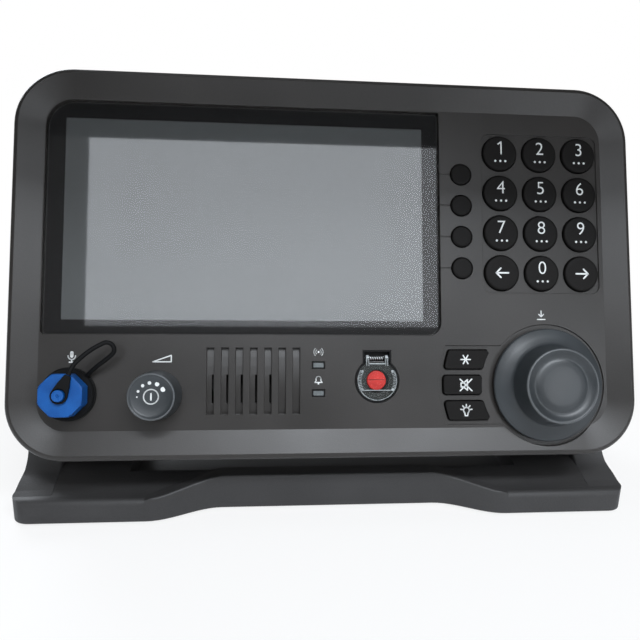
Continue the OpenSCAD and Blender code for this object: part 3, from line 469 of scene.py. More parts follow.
def stroke(bm: Bmesh, points: Sequence[Flat], width: float, layer: Flat) -> None:
    """Makes a printed line: one bar between each two points, with a round at each point.

    Args:
        bm: The bmesh that takes it.
        points: Places that the line joins.
        width: Width of the line.
        layer: Heights of its back and front.
    """
    back, front = layer
    for a, b in zip(points, points[1:]):
        run = Vector((b[0] - a[0], b[1] - a[1], 0))
        turn = Matrix.Rotation(math.atan2(run.y, run.x), 4, "Z")
        size = Matrix.Diagonal((run.length, width, front - back, 1))
        middle = Matrix.Translation(((a[0] + b[0]) / 2, (a[1] + b[1]) / 2, (back + front) / 2))
        bmesh.ops.create_cube(bm, size=1.0, matrix=middle @ turn @ size)
    for point in points:
        disc(bm, point, width / 2, layer, 12)


def polar(at: Flat, r: float, degrees: float) -> Flat:
    """Returns the point at a distance and an angle from another one."""
    angle = math.radians(degrees)
    return at[0] + r * math.cos(angle), at[1] + r * math.sin(angle)


def ring_points(at: Flat, r: float, a0: float, a1: float, steps: int = 24) -> list[Flat]:
    """Returns points on an arc between two angles in degrees."""
    return [polar(at, r, a0 + (a1 - a0) * i / steps) for i in range(steps + 1)]


def figure(bm: Bmesh, text: str, height: float, at: Flat, layer: Flat) -> None:
    """Makes a printed figure as a thin mesh, from a text curve.

    Args:
        bm: The bmesh that takes it.
        text: The digits.
        height: Height of a digit.
        at: Middle of the figure.
        layer: Heights of its back and front.
    """
    curve = bpy.data.curves.new("figure", "FONT")
    curve.body = text
    curve.size = 1.0
    curve.extrude = 0.02
    curve.offset = -0.009
    curve.resolution_u = 6
    holder = bpy.data.objects.new("figure", curve)
    mesh = bpy.data.meshes.new_from_object(holder)
    bm.from_mesh(mesh)
    bpy.data.meshes.remove(mesh)
    bpy.data.objects.remove(holder)
    bpy.data.curves.remove(curve)
    low = Vector([min(x.co[i] for x in bm.verts) for i in range(3)])
    high = Vector([max(x.co[i] for x in bm.verts) for i in range(3)])
    k = height / (high.y - low.y)
    depth = layer[1] - layer[0]
    centred = Matrix.Translation(-(low + high) / 2)
    size = Matrix.Diagonal((k, k, depth / (high.z - low.z), 1))
    move = Matrix.Translation((*at, layer[0] + depth / 2))
    bmesh.ops.transform(bm, matrix=move @ size @ centred, verts=bm.verts)


def signs(mark: Mark, at: Flat, layer: Flat, size: float) -> list[tuple]:
    """Returns the strokes of a printed sign.

    Args:
        mark: Which sign.
        at: Its middle.
        layer: Heights of its back and front.
        size: Its height.

    Returns:
        For each stroke, the function that makes it and what this takes besides the bmesh.
    """
    line = size * 0.11

    def spot(p: Flat) -> Flat:
        """Scales a point of the sign to its size and place."""
        return at[0] + size * p[0], at[1] + size * p[1]

    def path(*points: Flat, width: float = line) -> tuple:
        """Returns a line of the sign."""
        return stroke, [spot(p) for p in points], width, layer

    def dot(p: Flat, r: float) -> tuple:
        """Returns a dot of the sign."""
        return disc, spot(p), size * r, layer

    def arc(p: Flat, r: float, a0: float, a1: float) -> tuple:
        """Returns an arc of the sign."""
        return stroke, ring_points(spot(p), size * r, a0, a1), line, layer

    table = {
        Mark.LEFT: [path((0.42, 0), (-0.42, 0)), path((-0.12, 0.32), (-0.44, 0), (-0.12, -0.32))],
        Mark.RIGHT: [path((-0.42, 0), (0.42, 0)), path((0.12, 0.32), (0.44, 0), (0.12, -0.32))],
        Mark.STAR: [path(polar((0, 0), 0.4, a), polar((0, 0), 0.4, a + 180)) for a in (0, 60, 120)],
        Mark.MUTE: [
            path(
                (-0.42, 0.16), (-0.2, 0.16), (0.12, 0.44), (0.12, -0.44),
                (-0.2, -0.16), (-0.42, -0.16), (-0.42, 0.16),
            ),
            path((-0.5, 0.48), (0.5, -0.48)),
            path((-0.5, -0.48), (0.5, 0.48)),
        ],
        Mark.LAMP: [
            arc((0, 0.02), 0.24, -50, 230),
            path((-0.15, -0.17), (-0.1, -0.42), (0.1, -0.42), (0.15, -0.17)),
            *[path(*(polar((0, 0.02), r, a) for r in (0.34, 0.48))) for a in (10, 50, 90, 130, 170)],
        ],
        Mark.MICROPHONE: [
            path((0, 0.38), (0, 0.08), width=size * 0.3),
            arc((0, 0.1), 0.32, 180, 360),
            path((0, -0.22), (0, -0.44)),
            path((-0.2, -0.46), (0.2, -0.46)),
        ],
        Mark.VOLUME: [path((-0.9, -0.3), (0.9, -0.3), (0.9, 0.34), (-0.9, -0.3))],
        Mark.WAVES: [
            dot((0, 0), 0.12),
            *[arc((0, 0), r, a, a + 90) for r in (0.32, 0.55) for a in (-45, 135)],
        ],
        Mark.BELL: [
            path((-0.4, -0.26), (-0.26, -0.1), (-0.26, 0.12)),
            arc((0, 0.12), 0.26, 0, 180),
            path((0.26, 0.12), (0.26, -0.1), (0.4, -0.26), (-0.4, -0.26)),
            dot((0, -0.4), 0.09),
        ],
        Mark.PUSH: [
            path((0, 0.5), (0, -0.1)),
            path((-0.26, 0.14), (0, -0.12), (0.26, 0.14)),
            path((-0.42, -0.4), (0.42, -0.4)),
        ],
    }
    return table[mark]


def dress(node: str, finish: Finish) -> None:
    """Gives a carried-over CAD node its finish.

    Args:
        node: Name of the node.
        finish: What its surface is.
    """
    piece = bpy.data.objects[node]
    piece.data.materials.clear()
    piece.data.materials.append(finish.material())
    LOG.info("%s: carried over", node)


def softened(
    node: str,
    body: str,
    finish: Finish,
    shape: Shape,
    limit: float = 40.0,
    smooth: float = 32.0,
    pick: Callable[[Vector], bool] | None = None,
    form: Callable[[Bmesh], None] | None = None,
) -> bpy.types.Object:
    """Copies a CAD node and softens its sharp edges.

    Args:
        node: Name of the CAD node.
        body: Body that the copy rides on.
        finish: Its finish.
        shape: How far the edges are softened.
        limit: Edges sharper than this, in degrees, are softened.
        smooth: Edges sharper than this, in degrees, are shaded sharp.
        pick: Says from an edge's middle, in millimetres, whether it may be softened.
        form: Shapes the copy before its edges are softened.

    Returns:
        The new piece, which stands for the node.
    """
    bm = bmesh.new()
    bm.from_mesh(bpy.data.objects[node].data)
    bmesh.ops.remove_doubles(bm, verts=bm.verts, dist=CAD_WELD)
    bmesh.ops.dissolve_limit(bm, angle_limit=math.radians(0.6), verts=bm.verts, edges=bm.edges)
    if form:
        form(bm)
    weight = bm.edges.layers.float.new("bevel_weight_edge")
    for edge in bm.edges:
        if len(edge.link_faces) == 2 and edge.calc_face_angle() > math.radians(limit):
            middle = (edge.verts[0].co + edge.verts[1].co) / 2 / MM
            edge[weight] = 1.0 if pick is None or pick(middle) else 0.0
    mesh = as_mesh(f"{node}_shape", bm)
    mesh.shade_smooth()
    mesh.set_sharp_from_angle(angle=math.radians(smooth))
    mesh.materials.append(finish.material())
    piece = put(f"{node}_shape", mesh)
    bevel = piece.modifiers.new("edges", "BEVEL")
    bevel.width = shape.value * MM
    bevel.segments = 2
    bevel.limit_method = "WEIGHT"
    bevel.use_clamp_overlap = False
    normals = piece.modifiers.new("shading", "WEIGHTED_NORMAL")
    normals.keep_sharp = True
    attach(piece, body)
    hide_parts(node)
    LOG.info("%s: softened copy on %s", node, body)
    return piece


@dataclass
class Studio:
    """Camera, floor and light."""

    eye: Point = (-28.5, -40.95, 255.67)
    toward: Point = (0.08805, 0.06705, -0.99386)
    right: Point = (0.99610, 0.0, 0.08825)
    lens: float = 33.75
    sensor: float = 36.0
    nearest: float = 0.01
    floor_z: float = -1.0
    floor_half: float = 6.0
    floor_grey: str = "#f4f4f4"
    floor_lift: float = 0.75
    floor_fade: Flat = (0.12, 0.36)
    daylight: str = "#f2f8ff"
    sky_level: float = 0.19
    flag_half: float = 400.0
    flag_rise: Flat = (138.0, 330.0)
    flag_out: float = 225.0

    def camera(self) -> None:
        """Sets the camera where the photograph was taken."""
        data = bpy.data.cameras.new("camera")
        data.lens = self.lens
        data.sensor_width = self.sensor
        data.clip_start = self.nearest
        camera = put("camera", data)
        ahead = PANEL.turn(self.toward)
        side = PANEL.turn(self.right)
        side = (side - ahead * side.dot(ahead)).normalized()
        above = side.cross(ahead)
        turn = Matrix((side, above, -ahead)).transposed().to_4x4()
        camera.matrix_world = Matrix.Translation(PANEL.place(self.eye)) @ turn
        bpy.context.scene.camera = camera

    def ground(self) -> None:
        """Lays a pale floor that keeps the shadow and fades to white away from the set."""
        bm = bmesh.new()
        bmesh.ops.create_grid(bm, x_segments=1, y_segments=1, size=self.floor_half)
        bmesh.ops.translate(bm, vec=(0, 0, self.floor_z * MM), verts=bm.verts)
        floor = put("floor", as_mesh("floor", bm))
        material = bpy.data.materials.new("floor_paper")
        floor.data.materials.append(material)
        tree = clear_tree(material)
        paper = add_node(tree, "BsdfPrincipled", {"Base Color": linear(self.floor_grey), "Roughness": 0.9})
        white = add_node(tree, "Emission", {"Color": WHITE, "Strength": 1.0})
        where = add_node(tree, "TexCoord")
        far = add_node(tree, "VectorMath", links={0: where.outputs["Object"]}, operation="LENGTH")
        first, last = self.floor_fade
        span = {"From Min": first, "From Max": last, "To Min": self.floor_lift, "To Max": 1.0}
        distance = {"Value": far.outputs["Value"]}
        fade = add_node(tree, "MapRange", span, distance, interpolation_type="SMOOTHSTEP")
        rays = add_node(tree, "LightPath")
        factors = {0: fade.outputs[0], 1: rays.outputs["Is Camera Ray"]}
        share = add_node(tree, "Math", links=factors, operation="MULTIPLY")
        shaders = {0: share.outputs[0], 1: paper.outputs[0], 2: white.outputs[0]}
        both = add_node(tree, "MixShader", links=shaders)
        add_node(tree, "OutputMaterial", links={"Surface": both.outputs[0]})

    def sky(self) -> None:
        """Lights the scene softly from all round, and shows white behind it."""
        world = bpy.data.worlds.new("studio")
        bpy.context.scene.world = world
        tree = clear_tree(world)
        rays = add_node(tree, "LightPath")
        direct = {0: rays.outputs["Is Camera Ray"], 1: rays.outputs["Is Transmission Ray"]}
        seen = add_node(tree, "Math", links=direct, operation="MAXIMUM")
        span = {"To Min": self.sky_level, "To Max": 1.0}
        level = add_node(tree, "MapRange", span, {"Value": seen.outputs[0]})
        back = add_node(tree, "Background", {"Color": WHITE}, {"Strength": level.outputs[0]})
        add_node(tree, "OutputWorld", links={"Surface": back.outputs[0]})

    def lamp(self, name: str, place: Vector, aim: Vector, size: Flat, level: float) -> None:
        """Hangs one soft lamp.

        Args:
            name: Name of the lamp.
            place: Its place in metres.
            aim: The point that it faces.
            size: Width and depth in metres.
            level: Brightness of its face, where one is white.
        """
        data = bpy.data.lights.new(name, "AREA")
        data.shape = "RECTANGLE"
        data.size, data.size_y = size
        data.energy = level * math.pi * size[0] * size[1]
        data.color = linear(self.daylight)[:3]
        lamp = put(name, data)
        lamp.location = place
        lamp.rotation_euler = (aim - place).to_track_quat("-Z", "Y").to_euler()

    def flag(self) -> None:
        """Hangs a black card out of sight that keeps the key light off the upper face."""
        half = self.flag_half
        low, high = self.flag_rise
        corners = [(-half, low), (half, low), (half, high), (-half, high)]
        bm = bmesh.new()
        bm.faces.new([bm.verts.new(PANEL.place((u, v, self.flag_out))) for u, v in corners])
        card = put("flag", as_mesh("flag", bm))
        card.data.materials.append(CONE_PAPER.material())
        card.visible_camera = False

    def build(self) -> None:
        """Sets up the studio: a flagged key, three other lamps and two boxes that the face mirrors."""
        bpy.context.scene.view_settings.view_transform = "Standard"
        self.camera()
        self.ground()
        self.sky()
        self.lamp("overhead", Vector((-0.1, -0.2, 1.2)), Vector((0, 0, 0.1)), size=(0.8, 0.5), level=1.1)
        for name, place, aim, size, level in (
            ("key", (270, 570, 1000), (270, -60, 0), (0.8, 0.14), 34.0),
            ("side", (-720, 560, 720), (60, -50, 0), (0.4, 0.4), 1.6),
            ("window_box", (-19.5, 245, 1000), (-19.5, 245, 0), (0.76, 0.43), 3.15),
            ("low_box", (640, -110, 1000), (200, -60, 0), (0.26, 0.3), 7.5),
        ):
            self.lamp(name, PANEL.place(place), PANEL.place(aim), size, level)
        self.lamp("rear", Vector((-0.75, 0.95, 0.75)), Vector((0, 0.03, 0.09)), size=(0.6, 0.5), level=8.0)
        self.flag()


@dataclass
class CapStrap:
    """The rubber strap that keeps the microphone cap: a loop from its ring to the eye."""

    diameter: float = 1.8
    route: tuple[Point, ...] = (
        (3.4, 8.2, 12.4),
        (4.2, 10.1, 12.3),
        (5.4, 12.4, 11.8),
        (8.2, 15.4, 11.0),
        (11.5, 18.2, 10.2),
        (15.1, 20.4, 9.4),
        (17.1, 21.0, 9.0),
        (19.0, 20.0, 8.6),
        (19.7, 18.0, 8.2),
        (18.7, 16.2, 7.7),
        (15.7, 13.8, 6.6),
        (12.5, 11.6, 5.2),
        (9.8, 9.4, 3.9),
        (7.4, 7.4, 2.5),
    )
    centre: Flat = (-109.2, -54.8)
    ends: Flat = (3.0, 12.2)
    ring: tuple[Flat, ...] = (
        (6.7, 1.5), (10.3, 1.5), (10.7, 1.9), (10.7, 2.8),
        (10.2, 3.3), (7.1, 3.3), (6.7, 2.9), (6.7, 1.5),
    )

    def smooth_route(self, per_span: int = 4) -> list[Vector]:
        """Draws a smooth curve through the route.

        Args:
            per_span: Points for each span of the route.

        Returns:
            Points on the curve, in the panel's frame.
        """
        middle = Vector((*self.centre, 0.0))
        pts = [middle + Vector(p) for p in self.route]
        pts = [2 * pts[0] - pts[1], *pts, 2 * pts[-1] - pts[-2]]
        out: list[Vector] = []
        for a, b, c, d in zip(pts, pts[1:], pts[2:], pts[3:]):
            for k in range(per_span):
                t = k / per_span
                bend = (2 * a - 5 * b + 4 * c - d) * t * t + (3 * b - a - 3 * c + d) * t * t * t
                out.append(0.5 * (2 * b + (c - a) * t + bend))
        out.append(pts[-2])
        return out

    def build(self) -> None:
        """Makes the loop as a mesh tube, and the ring under it."""
        path = [PANEL.place(p) for p in self.smooth_route()]
        curve = bpy.data.curves.new("strap_line", "CURVE")
        curve.dimensions = "3D"
        curve.bevel_depth = self.diameter / 2 * MM
        curve.bevel_resolution = 4
        curve.use_fill_caps = True
        line = curve.splines.new("POLY")
        line.points.add(len(path) - 1)
        for point, place in zip(line.points, path):
            point.co = (*place, 1.0)
        holder = bpy.data.objects.new("strap_line", curve)
        mesh = bpy.data.meshes.new_from_object(holder)
        bpy.data.objects.remove(holder)
        bpy.data.curves.remove(curve)
        mesh.name = "strap_loop"
        mesh.materials.clear()
        mesh.materials.append(BLACK_RUBBER.material())
        mesh.shade_smooth()
        loop = put("strap_loop", mesh)
        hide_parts("cap_strap")
        ring = Builder()
        ring.part(spun, self.ring, self.centre)
        ring.finish("strap_ring", "head", [BLACK_RUBBER], "rubber", ["cap_strap"])
        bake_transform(loop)


@dataclass
class Housing:
    """Bezel, rear case and the pieces that close them."""

    slope: float = math.atan2(3.0, 9.6)
    slope_slack: float = 0.006
    slope_rise: Flat = (0.0, 3.0)
    arc_centre: Flat = (110.0, 58.0)
    inside: tuple[tuple[Finish, tuple[str, ...]], ...] = (
        (BLACK_RUBBER, ("case_gasket", "key_mat")),
        (ZINC_STEEL, ("case_screws", "mic_nut", "display_module", "tuning_encoder", "volume_control")),
        (ZINC_STEEL, ("tuning_shaft", "volume_shaft")),
        (PAINTED_STEEL, ("speaker",)),
        (CONE_PAPER, ("speaker_cone",)),
        (SOLDER_MASK, ("key_board", "main_board")),
        (BLACK_NYLON, ("tuning_plunger", "volume_plunger", "distress_switch")),
        (TURNED_BRASS, ("earth_stud",)),
    )

    def even_slope(self, bezel: bpy.types.Object) -> None:
        """Gives the rim's slope the normals of a true cone, so that its corners shade evenly.

        Args:
            bezel: The softened bezel, whose modifiers are applied on the way.
        """
        shaped = bezel.evaluated_get(bpy.context.evaluated_depsgraph_get())
        mesh = bpy.data.meshes.new_from_object(shaped)
        bezel.modifiers.clear()
        bezel.data = mesh
        back = PANEL.matrix().inverted()
        straighten = back.to_3x3().normalized()
        normals = [corner.vector.copy() for corner in mesh.corner_normals]
        lean_in, lean_out = math.sin(self.slope), math.cos(self.slope)
        low, high = self.slope_rise
        for face in mesh.polygons:
            middle = back @ face.center
            miss = abs((straighten @ face.normal).z - lean_out)
            if miss > self.slope_slack or not low < middle.z < high:
                continue
            for corner in face.loop_indices:
                place = back @ mesh.vertices[mesh.loops[corner].vertex_index].co
                away = Vector([max(abs(place[i]) - self.arc_centre[i], 0) for i in (0, 1)])
                away = away.normalized() * lean_in
                slope = (-math.copysign(away.x, place.x), -math.copysign(away.y, place.y), lean_out)
                normals[corner] = PANEL.turn(slope)
        mesh.normals_split_custom_set(normals)

    def build(self) -> None:
        """Softens the two shells and dresses what they hold."""
        bezel = softened("front_bezel", "head", SHELL_ABS, Shape.CRISP, smooth=15)
        self.even_slope(bezel)
        softened("rear_case", "head", COATED_ALUMINIUM, Shape.MOULDED)
        softened("link_socket", "head", BLACK_NYLON, Shape.CRISP)
        for finish, nodes in self.inside:
            for node in nodes:
                dress(node, finish)


@dataclass
class Display:
    """Window glass, printed border and the display behind them."""

    left: float = -121.5
    top: float = 69.5
    width: float = 168.8
    height: float = 99.7
    lcd_size: Flat = (154.2, 86.4)
    lcd_centre: Flat = (-37.1, 19.3)
    radii: tuple[float, float, float, float] = (1.2, 11.5, 1.4, 5.5)
    pane: Flat = (-2.6, -0.8)
    pane_gap: float = 0.15
    pane_edge: float = 0.35
    ink: Flat = (-2.72, -2.64)
    ink_gap: float = 0.5
    film: Flat = (-2.93, -2.82)
    film_lap: float = 0.8

    def outline(self, inset: float) -> list[Flat]:
        """Draws the window's outline, moved inwards.

        Args:
            inset: How far it is moved.

        Returns:
            Its points on the panel.
        """
        u = self.left + self.width / 2
        v = self.top - self.height / 2
        flat = rounded_outline(
            self.width - 2 * inset, self.height - 2 * inset, [max(r - inset, 0.3) for r in self.radii]
        )
        return [(p[0] + u, p[1] + v) for p in flat]

    def build(self) -> None:
        """Makes the glass, the border behind it and the display's film."""
        glass = Builder()
        glass.part(plate, self.outline(self.pane_gap), self.pane, self.pane_edge)
        glass.finish("window_pane", "head", [WINDOW_GLASS], "window", ["window_glass"], angle=15)
        border = Builder()
        border.part(self._border)
        border.finish("window_border", "head", [BORDER_INK], "window")
        film = Builder()
        w, h = (side + 2 * self.film_lap for side in self.lcd_size)
        u, v = self.lcd_centre
        sheet = [(u + a, v + b) for a, b in rounded_outline(w, h, [0.5] * 4, 3)]
        film.part(plate, sheet, self.film)
        film.finish("display_film", "head", [LCD_FILM], "display")

    def _border(self, bm: Bmesh) -> None:
        """Bridges the window's outline to the display's edge as a thin printed sheet.

        Args:
            bm: The bmesh that takes it.
        """
        w, h = self.lcd_size
        u, v = self.lcd_centre
        back, front = self.ink
        outer = self.outline(self.ink_gap)
        inner = [(p[0] + u, p[1] + v) for p in rounded_outline(w, h, [0.4] * 4)]
        loops = []
        for points in (outer, inner):
            verts = [bm.verts.new((p[0], p[1], back)) for p in points]
            loops.append([bm.edges.new((a, b)) for a, b in zip(verts, verts[1:] + verts[:1])])
        bmesh.ops.bridge_loops(bm, edges=loops[0] + loops[1])
        out = bmesh.ops.extrude_face_region(bm, geom=list(bm.faces), use_keep_orig=True)
        moved = [g for g in out["geom"] if isinstance(g, bmesh.types.BMVert)]
        bmesh.ops.translate(bm, vec=(0, 0, front - back), verts=moved)


@dataclass
class Keys:
    """Keypad, soft keys and side keys."""

    pad_centre: Flat = (93.3, 24.6)
    pad_step: Flat = (18.3, 18.0)
    key_r: float = 7.8
    soft_u: float = 57.0
    soft_v: float = 20.5
    soft_step: float = 14.0
    soft_r: float = 4.6
    proud: float = 0.9
    digit_h: float = 5.6
    digit_rise: float = 2.5
    dot_step: float = 2.3
    dot_drop: float = 3.6
    dot_r: float = 0.5
    ink: Flat = (-0.01, 0.02)
    sign_h: float = 6.4
    side_u: float = 57.6
    side_ink: float = 0.03
    side_sign_h: float = 5.2
    sides: tuple[tuple[str, Mark, float], ...] = (
        ("side_key_top", Mark.STAR, -40.6),
        ("side_key_mute", Mark.MUTE, -51.6),
        ("side_key_lamp", Mark.LAMP, -62.6),
    )
    names: tuple[str, ...] = ("1", "2", "3", "4", "5", "6", "7", "8", "9", "left", "0", "right")

    def cap(self, r: float) -> list[Flat]:
        """Draws the profile of a round key: flat top with a rolled edge, stem and flange.

        Args:
            r: Radius of the key.

        Returns:
            Radius and height of each point.
        """
        top = self.proud
        profile = [(0.0, top), (r - 1.4, top), (r - 0.75, top - 0.05), (r - 0.35, top - 0.18)]
        profile += [(r - 0.1, top - 0.45), (r, top - 0.85)]
        return [*profile, (r, -4.8), (r + 0.8, -4.8), (r + 0.8, -5.8), (0.0, -5.8)]

    def digit(self, bm: Bmesh, name: str, at: Flat, layer: Flat) -> None:
        """Prints one digit; the one is drawn with its flag.

        Args:
            bm: The bmesh that takes it.
            name: The digit.
            at: Its middle.
            layer: Heights of its back and front.
        """
        if name == "1":
            u, v = at
            half = self.digit_h / 2
            flag = [(u - 0.9, v + half - 1.2), (u + 0.45, v + half - 0.2), (u + 0.45, v - half)]
            stroke(bm, flag, 0.62, layer)
        else:
            figure(bm, name, self.digit_h, at, layer)

    def build(self) -> None:
        """Makes every key with its print."""
        layer = (self.proud + self.ink[0], self.proud + self.ink[1])
        for i, name in enumerate(self.names):
            u = self.pad_centre[0] + (i % 3 - 1) * self.pad_step[0]
            v = self.pad_centre[1] + (1.5 - i // 3) * self.pad_step[1]
            key = Builder()
            key.part(spun, self.cap(self.key_r), (u, v))
            if name.isdigit():
                key.part(self.digit, name, (u, v + self.digit_rise), layer, index=1)
                for k in (-1, 0, 1):
                    key.part(disc, (u + self.dot_step * k, v - self.dot_drop), self.dot_r, layer, index=1)
            else:
                for stroke_values in signs(Mark(name), (u, v), layer, self.sign_h):
                    key.part(*stroke_values, index=1)
            node, finishes = f"key_{name}", [KEY_RUBBER, WHITE_INK]
            key.finish(f"keypad_{name}", f"{node}_cap", finishes, "key_rubber", [node])
        for i in range(4):
            v = self.soft_v + (1.5 - i) * self.soft_step
            key = Builder()
            key.part(spun, self.cap(self.soft_r), (self.soft_u, v))
            node = f"soft_key_{i + 1}"
            key.finish(f"{node}_shape", f"{node}_cap", [KEY_RUBBER], "key_rubber", [node])
        layer = (self.proud, self.proud + self.side_ink)
        for node, mark, v in self.sides:
            softened(node, f"{node}_cap", KEY_RUBBER, Shape.MOULDED)
            print_on = Builder()
            for stroke_values in signs(mark, (self.side_u, v), layer, self.side_sign_h):
                print_on.part(*stroke_values)
            print_on.finish(f"{node}_print", f"{node}_cap", [WHITE_INK], "key_rubber")


def paint_rim_highlight(piece: bpy.types.Object, centre: Flat, band: Flat, height: float, index: int) -> None:
    """Gives the rim of a turned piece its own material, whose lighter grey is a painted highlight.

    Args:
        piece: The finished piece.
        centre: Place of its axis on the panel.
        band: Radii between which the rim lies.
        height: Height above which it lies.
        index: Material slot of the rim.
    """
    back = PANEL.matrix().inverted()
    for face in piece.data.polygons:
        u, v, n = back @ face.center
        r = math.hypot(u - centre[0], v - centre[1])
        if face.material_index == 0 and band[0] < r < band[1] and n > height:
            face.material_index = index


@dataclass
class Knobs:
    """Tuning and volume knobs."""

    tune: Flat = (94.2, -51.6)
    tune_profile: tuple[Flat, ...] = (
        (3.05, 4.5), (7.0, 4.5), (7.0, 1.0), (24.2, 1.0), (24.4, 1.1), (24.5, 1.3), (24.5, 2.0),
        (24.3, 2.35), (23.9, 2.6), (21.0, 3.75), (18.6, 4.85), (17.9, 5.25), (17.5, 5.7), (17.3, 6.4),
        (15.85, 14.6), (15.6, 15.2), (15.3, 15.5), (14.95, 15.6), (14.6, 15.5), (14.2, 15.2),
        (13.2, 14.55), (12.4, 14.15), (11.7, 13.95), (11.2, 13.95), (10.7, 14.15), (10.0, 14.35),
        (7.5, 14.5), (4.0, 14.55), (0.0, 14.56), (0.0, 11.6), (3.05, 11.6), (3.05, 4.5),
    )
    tune_rim: Flat = (14.8, 15.7)
    tune_rim_n: float = 15.1
    volume: Flat = (-73.6, -55.2)
    volume_profile: tuple[Flat, ...] = (
        (3.05, 4.5), (7.0, 4.5), (7.0, 1.0), (10.0, 1.0), (10.2, 1.2), (10.15, 2.0), (9.45, 13.6),
        (9.3, 14.4), (9.05, 14.85), (8.7, 15.0), (8.35, 14.85), (8.0, 14.5), (7.5, 14.3), (4.0, 14.2),
        (0.0, 14.2), (0.0, 12.0), (3.05, 12.0), (3.05, 4.5),
    )
    volume_rim: Flat = (8.65, 9.4)
    volume_rim_n: float = 14.4
    ink: Flat = (14.18, 14.26)
    power_r: float = 2.85
    power_half: float = 1.2
    scale_r: float = 5.4
    scale: tuple[Flat, ...] = ((181, 0.3), (157, 0.55), (127, 0.65), (97, 0.7), (65, 0.85), (32, 0.95))

    def build(self) -> None:
        """Turns both knobs and prints the volume knob's face."""
        tune = Builder()
        tune.part(spun, self.tune_profile, self.tune, 128)
        # The rim's lighter finish is a painted highlight along the tuning knob's edge.
        finishes = [KNOB_ABS, RIM_HIGHLIGHT_ABS]
        piece = tune.finish("tuning_knob_shape", "tuning_turn", finishes, "knob_plastic", ["tuning_knob"], 40)
        paint_rim_highlight(piece, self.tune, self.tune_rim, self.tune_rim_n, 1)
        volume = Builder()
        volume.part(spun, self.volume_profile, self.volume, 96)
        u, v = self.volume
        half = self.power_half
        volume.part(stroke, ring_points((u, v), self.power_r, 0, 360, 40), 0.5, self.ink, index=1)
        volume.part(stroke, [(u, v + half), (u, v - half)], 0.6, self.ink, index=1)
        for angle, r in self.scale:
            volume.part(disc, polar((u, v), self.scale_r, angle), r, self.ink, index=1)
        # The rim's lighter finish is a painted highlight along the volume knob's edge.
        finishes = [KNOB_ABS, WHITE_INK, RIM_HIGHLIGHT_ABS]
        knob = ["volume_knob"]
        piece = volume.finish("volume_knob_shape", "volume_turn", finishes, "knob_plastic", knob, 40)
        paint_rim_highlight(piece, self.volume, self.volume_rim, self.volume_rim_n, 2)


@dataclass
class MicrophoneSocket:
    """Socket, cap and the strap's eye."""

    def build(self) -> None:
        """Softens the socket, the cap and the eye."""
        softened("mic_socket", "head", BLACK_NYLON, Shape.CRISP)
        softened("mic_cap", "cap", BLUE_NYLON, Shape.MOULDED, 20)
        softened("strap_eye", "cap_eye", BLACK_RUBBER, Shape.MOULDED)


